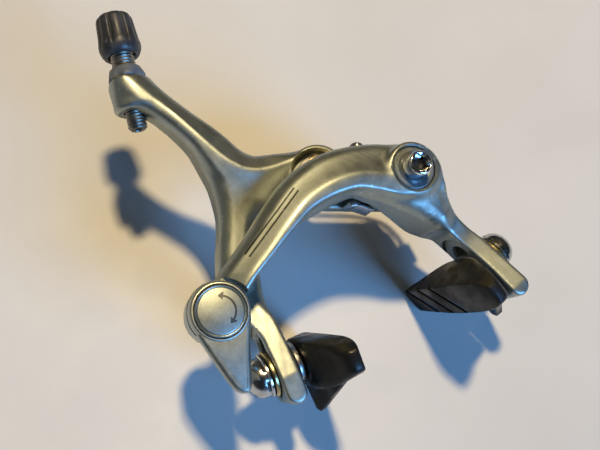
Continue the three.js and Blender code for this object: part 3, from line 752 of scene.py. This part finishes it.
def rear_arm():
    back = -9.9
    clay = Forging((-52, -28, -62), (16, -7, 54))
    side, front = clay.stroke(REAR_CREST)[1:3]
    front = front + crest_front(side, (0.95, 5.4), (0.32, 3.2), 1.1)
    blade_lean = 0.19
    front = front - blade_lean * np.clip(-clay.z - 24, 0, 26)
    limb = clay.stroke(REAR_LIMB)[0]
    web = clay.stroke(REAR_WEB)[0]
    fillet = 8
    mix = np.clip(0.5 + 0.5 * (limb - web) / fillet, 0, 1)
    plan = limb + mix * (web - limb) - fillet * mix * (1 - mix)
    high = fade(clay.z, 12, 40)
    blade = fade(-clay.z, 24, 34)
    left = fade(-side, 2, 6)
    edge = 2.4 + 2.4 * left * (1 - blade) - 1.4 * blade
    clay.plate(plan, front, back - 3.0 * high, edge, 1.2 + 1.6 * high)
    clay.plate(clay.disc(CENTRE, HUB_R), -22.0, back, 1.0, 0.8, 0.6)
    clay.plate(clay.stroke(REAR_TAIL)[0], -20.5, back, 0.6, 0.6, 0.8)
    clay.boss(BARREL, 5.9, BOSS_FOOT, BOSS_TOP + 0.25, 1.4, 4.0)
    body = clay.body("rear_arm_forging")
    face = -22.0
    recess = -0.8
    tools = [
        revolve("bore", [(0, -6), (BORE_R, -6), (BORE_R, BOSS_FOOT), (BORE_R, 20), (0, 20)], BARREL, 48),
        drill("spotface", 9, BOSS_TOP, 22, BARREL),
        drill("pivot_hole", 4.3, -30, 0, AT_CENTRE),
        revolve(
            "nut_recess",
            [(0, -30), (9.4, -30), (9.4, face - 0.6), (NUT_RECESS_R, face + 0.5), (NUT_RECESS_R, face + 3.4),
             (0, face + 3.4)],
            along_y(CENTRE.x + recess, CENTRE.z),
            72,
        ),
        slot_tool("left", -4.2, 8.4),
        drill("back_face", 13, back, back + 5, AT_CENTRE),
    ]
    combine(body, tools)
    dress(smooth(body, 38), SATIN, "rear_arm", "anodised", "rear_arm")


# ---------- front arm ----------
# Stations: x, z, half width, front, back.
FRONT_BAND = [
    (-48.6, -25, 6.6, -33.4, -23.2), (-44.4, -21.6, 5, -34.4, -24.2), (-38.9, -17.9, 4.5, -35.4, -25.2),
    (-30.4, -13.4, 4.7, -36, -25.4), (-22.4, -8.9, 5.3, -36.3, -25.4), (-14.6, -5.1, 5.9, -36.4, -25.4),
    (-8, -3.4, 6.5, -36.4, -25.4), (-1, -2.9, 7, -36.3, -25.4), (6, -3.8, 7.3, -36, -25),
    (13, -6.4, 8.2, -35.5, -22.8), (19.5, -9.8, 9, -35, -18),
]
FRONT_SKIRT = [
    (-17, -8.8, 3.4, -33.8, -25.5), (-9, -7.4, 4.3, -33.6, -25.5), (-1, -6.8, 4.5, -33.4, -25.5),
    (6, -7.3, 4.6, -33.4, -25), (11, -10.6, 5, -33.6, -23.6), (15.6, -14.4, 5, -33.6, -20.5),
    (18.6, -17.6, 4.9, -33.2, -17.8), (21.2, -20.2, 4.8, -32.8, -14.6), (25.6, -25.2, 4.2, -30, -10.1),
    (28.2, -28.6, 3.4, -27.8, -10),
]
FRONT_LIMB = [
    (25.4, -14, 6.4, -34.3, -10.2), (27.9, -20, 4, -32.6, -10.1), (29.4, -24.8, 3.3, -28.8, -10),
    (31.2, -30.2, 3.1, -25.2, -9.9), (33.9, -36.2, 3.1, -23.6, -9.9), (36.8, -42.6, 3.3, -24, -9.8),
    (39.2, -50, 3.3, -25.4, -9.8), (41.5, -58.5, 3.6, -27.2, -10),
]
SCREW_LUG = [[12.6, -2.3, 2.2], [18.0, -2.3, 2.5]]
SIDE_HUB_R = 8.5
SIDE_RIM = -34.5
SIDE_RIM_R = 7.6
SIDE_RECESS_R = 6.95
QR_BOSS_R = 8.6


def front_arm():
    back = -9.9
    boss_front = -31.0
    boss_back = -22.6
    clay = Forging((-61, -39, -66), (48, -7, 8))
    plan, side, front, rear = clay.stroke(FRONT_BAND)
    front = front + crest_front(side + 3.4, (0.74, 5.6), (0.14, 1.0), 1.5)
    clay.plate(plan, front, rear, 0.9 + 2.7 * fade(side, -3, 4), 1.2)
    plan, side, front, rear = clay.stroke(FRONT_SKIRT)
    clay.plate(plan, front, rear, 5.0, 1.0, 1.6)
    plan, side, front, rear = clay.stroke(FRONT_LIMB)
    near = fade(clay.z, -32, -24) * fade(-side, -1, 2)
    clay.plate(plan, front + 0.03 * side, rear, 1.0 + 2.6 * near, 1.2, 3.6)
    clay.plate(clay.disc(SIDE, SIDE_HUB_R), SIDE_RIM, back, 1.5, 0.8, 2.4)
    clay.plate(clay.disc(QR, QR_BOSS_R), boss_front, boss_back, 0.8, 0.8, 1.6)
    clay.plate(clay.stroke(SCREW_LUG)[0], -20.2, -11.6, 0.8, 0.8, 1.5)
    body = clay.body("front_arm_forging")
    rim = SIDE_RIM
    tools = [
        revolve(
            "side_recess",
            [(0, rim - 8), (8.0, rim - 8), (8.0, rim - 0.4), (SIDE_RIM_R, rim), (SIDE_RECESS_R, rim + 0.6),
             (SIDE_RECESS_R, rim + 3.0), (0, rim + 3.0)],
            AT_SIDE,
            120,
        ),
        drill("side_hole", 4.6, -46, 0, AT_SIDE),
        drill("qr_hole", 5.3, -46, -12, AT_QR),
        drill("qr_face", 10, -46, boss_front, AT_QR, 72),
        drill("qr_back", 10, boss_back, boss_back + 6, AT_QR, 72),
        drill("back_face", 13, back, back + 6, AT_SIDE),
        drill("screw_bore", 1.55, -3, 20, SCREW, 32),
        slot_tool("right", -6.2, 6.4),
    ]
    combine(body, tools)
    dress(smooth(body, 38), MARKED, "front_arm", "anodised", "front_arm")


# ---------- pivots, bracket and spring ----------
def bracket_outline():
    big = 7.8
    small = 6.6
    lean = math.degrees(math.atan2(SIDE.z - CENTRE.z, SIDE.x - CENTRE.x))
    outline = arc(big, big, CENTRE.x, CENTRE.z, lean + 90, lean + 270, 24)
    return outline + arc(small, small, SIDE.x, SIDE.z, lean + 270, lean + 450, 24)


def rear_bracket():
    front, back = span("rear_bracket")
    body = prism("rear_bracket_plate", bracket_outline(), front, back, 0.7, segments=3)
    tools = [
        drill("hole", 4.3, -14, 0, AT_CENTRE, 48),
        drill("hole", 3.3, -14, 0, AT_SIDE, 48),
    ]
    combine(body, tools)
    dress(smooth(body), SATIN, "mount", "anodised", "rear_bracket")


def centre_pivot():
    front, end = span("centre_bolt")
    shank = 4.0
    socket = hexagon(3.4)
    rings = [(0, -22.6), (socket, -22.6), (socket, front + 0.15), (3.3, front), (shank, front + 0.6)]
    rings += [(shank, -2.9), (2.7, -2.3)] + threaded(-2.2, end - 0.6) + [(2.2, end), (0, end)]
    bolt = smooth(revolve("centre_pivot_bolt", rings, AT_CENTRE, 60))
    dress(bolt, STEEL, "mount", "steel", "centre_bolt")

    low, high = span("centre_pivot_nut")
    edge = 0.7
    flats = 10.6
    rings = [(4.3, low), (5.2, low), (hexagon(flats, 6.0), low + edge), (hexagon(flats, 6.0), high - edge)]
    rings += [(5.2, high), (4.3, high)]
    nut = smooth(bevel(revolve("centre_lock_nut", rings, AT_CENTRE, 96, loop=True), 0.12))
    dress(nut, GOLD, "mount", "brass", "centre_pivot_nut")


def washer(name, node, outer, inner, at, look, body, slot, edge=0.2, teeth=0):
    low, high = span(node)

    def knurled(turn, height):
        return outer - 0.18 * (0.5 + 0.5 * math.cos(teeth * turn))

    rim = knurled if teeth else outer
    rings = [(inner, low + edge / 2), (inner + edge / 2, low), (outer - edge, low), (rim, low + edge)]
    rings += [(rim, high - edge), (outer - edge, high), (inner + edge / 2, high), (inner, high - edge / 2)]
    obj = smooth(revolve(name, rings, at, 144 if teeth else 72, loop=True))
    return dress(obj, look, body, slot, node)


def side_pivot():
    front, end = span("side_pivot_bolt")
    head = 3.8
    seat = -34.05
    depth = 3.2
    crown = arc(0.7, 0.9, head - 0.7, front + 0.9, 90 + 180, 180 + 180, 6)
    rings = [(0, front + depth + 0.6), (1.4, front + depth), (hexagon(5), front + depth)]
    rings += [(hexagon(5), front + 0.35), (2.95, front + 0.05), (3.05, front)]
    rings += [(r, y) for r, y in crown]
    rings += [(head, seat - 0.2), (head - 0.2, seat), (3.0, seat)]
    rings += [(3.0, -9.5), (2.75, -9.2)] + threaded(-9.0, end - 0.5, 2.95, 0.3) + [(2.2, end), (0, end)]
    bolt = smooth(revolve("side_pivot_socket_bolt", rings, AT_SIDE, 96))
    dress(bolt, CHROME, "mount", "chrome", "side_pivot_bolt")

    low, high = span("side_pivot_collar")
    outer = 6.75
    low -= 0.2
    rings = [(3.3, high), (3.3, low + 0.25), (5.0, low + 0.1), (5.2, low), (outer - 0.5, low)]
    rings += [(outer, low + 0.4), (outer, high - 0.1), (outer - 0.2, high)]
    collar = smooth(revolve("side_pivot_dust_collar", rings, AT_SIDE, 96, loop=True), 25)
    dress(collar, SLATE, "mount", "dark_steel", "side_pivot_collar")


SPRING_PATH = [
    (-36, -7.5, -22), (-34.2, -7.4, -18), (-29.6, -6.6, -9.6), (-22, -6, -0.4), (-13, -6, 7.2),
    (-4, -6, 10.9), (4.6, -6, 10.6), (14, -6, 5.4), (24, -6, -0.8), (31, -6.2, -7.6), (33.4, -7.2, -15),
    (33, -7.5, -20), (32.6, -7.5, -24),
]
SPRING_WIRE_R = 0.9


def spring():
    """Two halves of the wire that meet at the bracket, both fixed in place."""
    middle = 5
    steps = 10
    halves = (("left", slice(0, middle * steps + 1), 0), ("right", slice(middle * steps, None), -1))
    for side, part, end in halves:
        wire = smooth(tube(side + "_spring_wire", SPRING_PATH, SPRING_WIRE_R, part, 18, steps))
        dress(wire, STEEL, None, "steel", "return_spring")
        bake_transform(wire)


def slider(side, end, following):
    """A moulded block on the back of an arm that the spring's end slides in."""
    start = Vector(end)
    run = (Vector(following) - start).normalized()
    up = Vector((0, 1, 0))
    over = run.cross(up).normalized()
    at = basis(run, over.cross(run), over, start)
    block = [(-2.9, 2.5), (4.1, 2.5), (4.1, -2.5), (-2.9, -2.5)]
    body = prism("block", round_corners(block, 0.9), -2.1, 2.1, 0.35, at)
    ridge = [(-1.6, 2.2), (2.8, 2.2), (2.8, -2.2), (-1.6, -2.2)]
    rib = prism("rib", round_corners(ridge, 0.5), 1.5, 2.35, 0.2, at)
    combine(body, [rib], "UNION")
    turning = basis(-over, over.cross(run), run, start)
    hole = drill("hole", 1.2, -2.6, 8, turning, 40)
    combine(body, [hole])
    body.name = side + "_spring_block"
    dress(smooth(body), NYLON, side_body(side), "nylon", side + "_spring_slider")


def side_body(side):
    return "rear_arm" if side == "left" else "front_arm"


STOP_PLATE = [
    (6.4, -11.2), (12.0, -11.2), (13.0, -12.8), (13.9, -16.6), (12.9, -17.3), (8.4, -13.4), (6.4, -13.0),
]


def stop_plate():
    front, back = span("open_stop_plate")
    body = prism("open_stop_tongue", round_corners(STOP_PLATE, 0.7, 4), front, back, 0.25)
    turn = Matrix.Rotation(math.radians(42), 4, "Y")
    turn.translation = (11.2, front, -14.2)
    outline = [(-1.6, 0.4), (1.6, 0.4), (1.6, -0.4), (-1.6, -0.4)]
    slit = prism("slit", round_corners(outline, 0.3), -2, 2.6, 0, turn)
    combine(body, [slit])
    dress(smooth(body), STEEL, "mount", "steel", "open_stop_plate")


def centring_screw():
    rings = [(0, 0), (0.75, 0), (1.0, 0.3)] + threaded(0.5, 9.8, 1.25, 0.18, 0.5, 7)
    socket = hexagon(2.0)
    rings += [(1.2, 10.0), (2.3, 10.0), (2.3, 11.3), (1.8, 12.0), (socket, 12.0), (socket, 10.9), (0, 10.9)]
    screw = smooth(revolve("centring_grub_screw", rings, SCREW, 48))
    dress(screw, DARK_STEEL, "centring_screw", "dark_steel", "centring_screw")


# ---------- cable adjuster ----------
def shaped(profile, shape):
    """Rings from rows of radius, height and how deep the shape is cut there."""
    return [(shape(radius, depth) if depth else radius, height) for radius, height, depth in profile]


def adjuster():
    length = 35.2
    shoulder = 19.6
    rings = [(1.2, 0.3), (1.4, 0), (2.25, 0), (2.6, 0.5)] + threaded(0.6, shoulder, 2.95, 0.36)
    neck = 3.65
    rings = rings[:-1] + [(2.9, 19.6), (neck - 0.3, 19.7)] + threaded(19.8, 24.6, neck, 0.34, 0.95)
    rings += [(2.4, 24.8), (2.4, length), (1.4, length), (1.2, length - 0.3)]
    barrel = smooth(revolve("threaded_barrel", rings, BARREL, 64, loop=True))
    dress(barrel, BROWNED, "adjuster_barrel", "steel", "adjuster_barrel")

    flutes = 8

    def fluted(radius, depth):
        def out(turn, height):
            wave = (turn * flutes / (2 * math.pi)) % 1
            groove = math.exp(-(((wave - 0.5) / 0.085) ** 2))
            belly = 0.12 * math.cos(2 * math.pi * wave)
            return radius + belly * min(1, depth * 2) - depth * groove
        return out

    profile = [
        (3.9, 24.4, 0), (4.4, 23.7, 0), (4.9, 23.6, 0), (5.4, 23.9, 0), (5.9, 24.7, 0.05),
        (6.25, 25.6, 0.08), (6.38, 26.3, 0.12), (6.4, 27.0, 0.2), (6.34, 27.7, 0.3), (6.15, 28.4, 0.45),
        (6.0, 29.4, 0.6), (5.85, 31.4, 0.65), (5.7, 33.4, 0.65), (5.55, 35.2, 0.6), (5.42, 36.0, 0.45),
        (5.2, 36.5, 0.3), (4.85, 36.85, 0.15), (4.4, 36.95, 0), (3.5, 36.9, 0), (2.9, 36.5, 0),
    ]
    rings = [(2.75, 35.9), (2.75, 25.2), (3.9, 25.0)] + shaped(profile, fluted)
    knob = smooth(revolve("fluted_knob", rings, BARREL, 192, loop=True), 50)
    dress(knob, KNOB, "adjuster_knob", "knob_plastic", "adjuster_knob")

    lobes = 6

    def lobed(radius, depth):
        def out(turn, height):
            wave = 0.5 + 0.5 * math.cos(turn * lobes)
            return radius - depth * wave ** 1.5
        return out

    profile = [
        (3.7, 15.5, 0), (5.0, 15.5, 0.3), (5.55, 15.6, 0.8), (5.95, 15.95, 1.1), (6.0, 16.4, 1.05),
        (5.85, 17.0, 0.6), (5.5, 17.8, 0.25), (5.15, 18.6, 0.1), (4.85, 19.3, 0), (4.5, 19.65, 0),
        (4.1, 19.75, 0),
    ]
    rings = [(3.9, 19.6), (3.9, 17.5), (3.3, 17.3), (3.3, 15.7)] + shaped(profile, lobed)
    ring = smooth(revolve("scalloped_lock_ring", rings, BARREL, 144, loop=True), 50)
    dress(ring, GREY, "adjuster_lock_ring", "grey_plastic", "adjuster_lock_ring")


# ---------- quick release and cable anchor ----------
LEVER_TAIL = [
    (-3.6, -3.0), (-8.4, -2.6), (-7.8, -7.0), (-7.0, -12.0), (-6.2, -17.0), (-5.4, -20.4), (-4.0, -22.2),
    (-2.0, -22.8), (-0.9, -21.6), (0.8, -17.6), (3.6, -11.6), (6.8, -5.6), (8.4, -2.0), (4.0, 0.0),
]
CAP_R = 7.2


def quick_release():
    front, back = span("qr_lever")
    rim = revolve(
        "quick_release_lever",
        [(0, back), (8.5, back), (8.8, back - 0.3), (8.8, back - 1.5), (8.45, back - 1.75),
         (8.6, back - 2.0), (8.45, front + 1.2), (8.2, front + 0.5), (7.95, front + 0.1), (7.75, front),
         (0, front)],
        AT_QR,
        120,
    )
    outline = round_corners([(QR.x + x, QR.z + z) for x, z in LEVER_TAIL], 1.2, 4)
    tail = prism("tail", outline, front + 0.3, back - 0.4, 1.3, segments=5)
    combine(rim, [tail], "UNION")
    tools = [
        drill("cap_seat", 7.5, front - 3, front + 1.6, AT_QR, 120),
        drill("hole", 4.3, front - 3, 0, AT_QR),
    ]
    combine(rim, tools)
    dress(smooth(rim), SATIN, "quick_release", "anodised", "qr_lever")

    low, high = span("qr_cap")
    rings = [(0, high), (7.0, high), (CAP_R, high - 0.2), (CAP_R, low + 0.55), (7.05, low + 0.25)]
    rings += [(6.75, low + 0.1), (6.6, low + 0.14), (6.45, low + 0.3), (6.3, low + 0.16)]
    rings += [(6.1, low + 0.1), (0, low + 0.02)]
    cap = smooth(revolve("quick_release_cap", rings, AT_QR, 120), 40)
    dress(cap, CAP, "quick_release", "anodised", "qr_cap")


def cap_finish(name):
    """The cap's satin face with a plain open-and-close arrow printed round it."""
    n = Nodes(name)
    colour, nick = satin_colour(n)
    x = n.math("SUBTRACT", n.axis(0), QR.x * MM)
    z = n.math("SUBTRACT", n.axis(2), QR.z * MM)
    away = n.math("SQRT", n.math("ADD", n.math("MULTIPLY", x, x), n.math("MULTIPLY", z, z)))
    turn = n.math("ARCTAN2", z, x)
    mid = 4.1 * MM
    off = n.math("ABSOLUTE", n.math("SUBTRACT", away, mid))
    swing = n.math("ABSOLUTE", turn)
    line = n.math("MULTIPLY", n.range(off, 0.32 * MM, 0.26 * MM), n.range(swing, 1.0, 0.98))
    head = n.math("MULTIPLY", n.math("SUBTRACT", 1.36, swing), mid * 0.75)
    point = n.math("MULTIPLY", n.math("GREATER_THAN", head, off), n.range(swing, 0.97, 0.99))
    ink = n.math("MAXIMUM", line, point)
    colour = n.mix(n.math("MULTIPLY", ink, 0.85), colour, (0.05, 0.05, 0.05))
    rough, normal = satin_surface(n, nick)
    return n.done(colour, rough, normal, 1.0)


CAP = cap_finish("satin_cap")


def cable_anchor():
    low, high = span("qr_spindle")
    shaft = 5.0
    rings = [(0, low), (3.8, low), (4.0, low + 0.2), (4.0, -31.2), (shaft - 0.2, -31.1), (shaft, -30.9)]
    rings += [(shaft, high - 0.3), (shaft - 0.3, high), (0, high)]
    spindle = revolve("cam_spindle", rings, AT_QR, 72)
    anchor = box("cable_anchor_washer")
    middle = (anchor[0] + anchor[1]) / 2
    at_anchor = along_y(middle.x, middle.z)
    rings = [(0, -29.6), (2.8, -29.6), (2.8, -21.9), (3.1, -21.3), (3.1, -18), (0, -18)]
    hole = revolve("hole", rings, at_anchor, 48)
    combine(spindle, [hole])
    dress(smooth(spindle), STEEL, "quick_release", "steel", "qr_spindle")

    low, high = span("cable_anchor_washer")
    rings = [(2.8, low), (5.4, low), (5.6, low + 0.2), (5.6, high - 0.4), (5.1, high), (2.8, high)]
    plate = revolve("cable_clamp_washer", rings, at_anchor, 96, loop=True)
    at_groove = along(Vector((0, 0, 1)), Vector((middle.x - 4, low, middle.z)))
    groove = drill("groove", 0.9, -10, 10, at_groove, 32)
    combine(plate, [groove])
    dress(smooth(plate), STEEL, "quick_release", "steel", "cable_anchor_washer")

    low, high = span("cable_anchor_bolt")
    seat = high - 4.3
    rings = [(0, low), (2.1, low), (2.4, low + 0.4)] + threaded(low + 0.5, seat - 1.2, 2.5, 0.28, 0.8)
    rings += [(2.45, seat - 1.0), (2.45, seat), (4.2, seat), (4.3, seat + 0.15), (4.3, high - 0.6)]
    rings += [(4.0, high - 0.15), (3.6, high), (hexagon(5), high), (hexagon(5), high - 2.8), (0, high - 2.8)]
    bolt = smooth(revolve("cable_clamp_bolt", rings, at_anchor, 96))
    dress(bolt, STEEL, "quick_release", "steel", "cable_anchor_bolt")


# ---------- brake shoes ----------
# Along the shoe: y, face, back, top of face, top of back, bottom of back, bottom of face.
SHOE_SECTIONS = [
    (-24.2, -15.6, -13.2, 0.8, 0.8, -4, -4), (-23.4, -16.4, -12, 1.9, 1.9, -5.2, -5),
    (-20.4, -16.9, -10.2, 3.4, 3.6, -6.6, -6), (-15, -17, -8, 4.2, 5.4, -8.2, -6.7),
    (-8, -17, -5.7, 4.3, 6.8, -8.8, -7), (0, -17, -5.4, 4.3, 7.2, -8.6, -7),
    (8, -17, -5.7, 4.3, 6.6, -7.6, -6.6), (16, -17, -8.4, 4.3, 5.4, -6.2, -5.9),
    (21.6, -17, -11, 4.2, 4.4, -5.4, -5.3), (25, -16.9, -12.4, 3.9, 4, -4.8, -4.8),
    (26, -16.4, -13.2, 3, 3, -3.9, -3.9),
]
FIN = [(-5.5, 2.0, -6.6), (-12.6, -20.6, -5.0), (-5.9, -2.6, -15.6), (-5.7, -0.2, -15.0)]
FIN_THICKNESS = Vector((-2.3, 0.8, 0))


def shoe(side):
    pitch = {"left": 7, "right": 6}[side]
    at = stud_frame(side) @ Matrix.Rotation(math.radians(pitch), 4, "X")
    rings = []
    for y, face, back, top_face, top_back, low_back, low_face in between(SHOE_SECTIONS, 6):
        outline = [(face, top_face), (back, top_back), (back, low_back), (face, low_face)]
        rings.append([(x, y, z) for x, z in shoe_corners(outline)])
    body = skin(side + "_brake_shoe", rings, at)
    outer = [Vector(p) for p in FIN]
    inner = [p + FIN_THICKNESS for p in outer]
    fin = bevel(skin("fin", [outer, inner], at), 0.35, 3)
    combine(body, [fin], "UNION")
    seat_at = stud_turning(side)
    tools = [drill("seat", 3.2, -11.5, 4, seat_at, 40)]
    for y in (6, 14, 22):
        lean = Matrix.Rotation(math.radians(-48), 4, "X")
        lean.translation = (-17.3, y - 3, 0)
        outline = [(-1.2, -11), (1.2, -11), (1.2, 11), (-1.2, 11)]
        tools.append(prism("groove", outline, -0.6, 0.6, 0, at @ lean))
    combine(body, tools)
    bevel(body, 0.16, 2, 34)
    dress(smooth(body, 40), RUBBER, side + "_shoe", "rubber", side + "_shoe")


def shoe_corners(outline):
    """Rounds the braking face's corners a little and the back's a lot."""
    radii = (0.55, 2.2, 2.4, 0.7)
    points = []
    for i, corner in enumerate(outline):
        here = Vector(corner)
        before = Vector(outline[i - 1]) - here
        after = Vector(outline[(i + 1) % 4]) - here
        start = here + before.normalized() * min(radii[i], before.length * 0.45)
        end = here + after.normalized() * min(radii[i], after.length * 0.45)
        for k in range(6):
            t = k / 5
            p = start * (1 - t) ** 2 + here * 2 * t * (1 - t) + end * t * t
            points.append((p.x, p.y))
    return points


def shoe_hardware(side):
    at = stud_turning(side)
    clamp = side + "_shoe_clamp"
    rings = [(0, -11.2), (2.5, -11.2), (2.9, -10.8), (2.9, -5.6)] + threaded(-5.4, 8.2, 2.9, 0.3)
    rings += [(2.3, 8.7), (0, 8.8)]
    stud = smooth(revolve(side + "_threaded_stud", rings, at, 56))
    dress(stud, STEEL, side + "_shoe", "steel", side + "_shoe_stud")

    rings = [(3.2, -3.5), (3.2, -5.0), (6.0, -5.0), (6.45, -4.85), (6.6, -4.4), (6.6, -3.7), (6.4, -3.5)]
    spacer = smooth(revolve(side + "_stud_spacer", rings, at, 72, loop=True))
    dress(spacer, STEEL, clamp, "steel", side + "_shoe_spacer")

    rings = [(3.2, 3.5), (6.7, 3.5), (6.9, 3.7), (6.9, 4.3), (6.6, 4.65), (6.2, 4.7), (3.2, 4.7)]
    disc = smooth(revolve(side + "_stud_washer", rings, at, 72, loop=True))
    dress(disc, GOLD, clamp, "brass", side + "_shoe_washer")

    seat = 5.0
    rings = [(3.2, 9.4), (3.2, seat), (6.3, seat), (6.6, seat + 0.25), (6.6, seat + 0.75)]
    rings += [(6.25, seat + 1.0), (hexagon(11.4, 6.1), seat + 1.05), (hexagon(11.4, 6.0), seat + 1.9)]
    rings += arc(6.0, 5.0, 0, seat + 1.95, 0, 87, 18) + [(0, seat + 6.95), (0, 9.4)]
    nut = revolve(side + "_dome_nut", rings[:-1] + [(0.02, seat + 6.95), (0.02, 9.4)], at, 96, loop=True)
    dress(smooth(nut, 28), WORN_CHROME, clamp, "chrome", side + "_shoe_nut")


# ---------- stage, light and camera ----------
CAMERA_PLACE = Vector((-85.484, -231.960, -31.966))
CAMERA_RIGHT = Vector((0.85979, -0.25266, -0.44376))
CAMERA_DOWN = Vector((-0.39550, 0.22022, -0.89168))
CAMERA_AHEAD = Vector((0.32302, 0.94216, 0.08941))
CAMERA_LENS = 44.17  # mm of focal length on a 36 mm sensor
TABLE_SLOPE = 0.267  # how far the table leans back from upright, by height


def table_normal():
    return Vector((0, -1, TABLE_SLOPE)).normalized()


def stage():
    """A pale table that the caliper lies on by its bolt's end and its shoes; clear from behind."""
    normal = table_normal()
    rest_y = span("centre_bolt")[1] + 0.3
    middle = Vector((0, rest_y, 0))
    right = Vector((1, 0, 0))
    up = normal.cross(right)
    size = 1500
    signs = ((-1, -1), (1, -1), (1, 1), (-1, 1))
    corners = [middle + right * sx * size + up * sz * size for sx, sz in signs]
    mesh = bpy.data.meshes.new("table")
    mesh.from_pydata([p * MM for p in corners], [], [(0, 1, 2, 3)])
    mesh.update()
    if mesh.polygons[0].normal.dot(normal) < 0:
        mesh.flip_normals()
    table = bpy.data.objects.new("table", mesh)
    SCENE.collection.objects.link(table)
    n = Nodes("pale_table")
    colour = n.mix(n.range(n.noise(9, 5), 0.3, 0.7), (0.70, 0.685, 0.66), (0.76, 0.745, 0.72))
    n.link(colour, n.shader.inputs["Base Color"])
    n.link(n.range(n.noise(60, 3), 0.3, 0.7, 0.5, 0.62), n.shader.inputs["Roughness"])
    n.link(n.bump(n.noise(700, 4), 0.08, 0.1), n.shader.inputs["Normal"])
    clear = n.add("ShaderNodeBsdfTransparent")
    choose = n.add("ShaderNodeMixShader")
    n.link(n.add("ShaderNodeNewGeometry").outputs["Backfacing"], choose.inputs[0])
    n.link(n.shader.outputs[0], choose.inputs[1])
    n.link(clear.outputs[0], choose.inputs[2])
    n.link(choose.outputs[0], n.tree.nodes["Material Output"].inputs["Surface"])
    mesh.materials.append(n.material)


def lamp(name, direction, distance, size, power, colour):
    """A square soft light that looks at the caliper; distance and size in millimetres."""
    light = bpy.data.lights.new(name, "AREA")
    light.size = size * MM
    light.energy = power
    light.color = colour
    obj = bpy.data.objects.new(name, light)
    SCENE.collection.objects.link(obj)
    away = Vector(direction).normalized()
    obj.location = away * distance * MM
    obj.rotation_mode = "QUATERNION"
    obj.rotation_quaternion = away.to_track_quat("Z", "Y")


def lights():
    lamp("warm_key", (0.12, -0.87, 0.47), 1400, 110, 16, (1.0, 0.77, 0.42))
    lamp("cool_window", (0.25, -0.70, -0.67), 4000, 1700, 147, (0.165, 0.46, 1.0))
    lamp("room_fill", (-0.75, -0.45, 0.5), 1600, 1400, 1.0, (0.92, 1.0, 0.9))
    world = bpy.data.worlds.new("room")
    world.use_nodes = True
    back = world.node_tree.nodes["Background"]
    back.inputs["Color"].default_value = (0.95, 0.97, 1.0, 1)
    back.inputs["Strength"].default_value = 0.02
    SCENE.world = world


def camera():
    lens = bpy.data.cameras.new("camera")
    lens.lens = CAMERA_LENS
    lens.sensor_width = 36
    lens.clip_start = 0.01
    lens.clip_end = 10
    obj = bpy.data.objects.new("camera", lens)
    SCENE.collection.objects.link(obj)
    obj.matrix_world = basis(CAMERA_RIGHT, -CAMERA_DOWN, -CAMERA_AHEAD, CAMERA_PLACE * MM)
    SCENE.camera = obj


rear_arm()
front_arm()
rear_bracket()
centre_pivot()
washer("centre_face_washer", "centre_pivot_washer", 6.6, 4.3, AT_CENTRE, STEEL, "mount", "steel")
washer("centre_spacer", "centre_thrust_washer", 6.8, 4.3, AT_CENTRE, DARK_STEEL, "mount", "dark_steel", 0.1)
washer("crown_seat_washer", "seat_washer", 8.5, 3.3, AT_CENTRE, DARK_STEEL, "mount", "dark_steel", 0.3, 36)
side_pivot()
washer("side_pivot_bush", "side_pivot_sleeve", 4.3, 3.3, AT_SIDE, GOLD, "mount", "brass", 0.2)
washer("side_spacer", "side_thrust_washer", 6.8, 4.6, AT_SIDE, DARK_STEEL, "mount", "dark_steel", 0.1)
spring()
slider("left", SPRING_PATH[0], SPRING_PATH[1])
slider("right", SPRING_PATH[-1], SPRING_PATH[-2])
stop_plate()
centring_screw()
adjuster()
quick_release()
cable_anchor()
for side in ("left", "right"):
    shoe(side)
    shoe_hardware(side)
stage()
lights()
camera()
SCENE.view_settings.view_transform = "Standard"
SCENE.view_settings.look = "None"
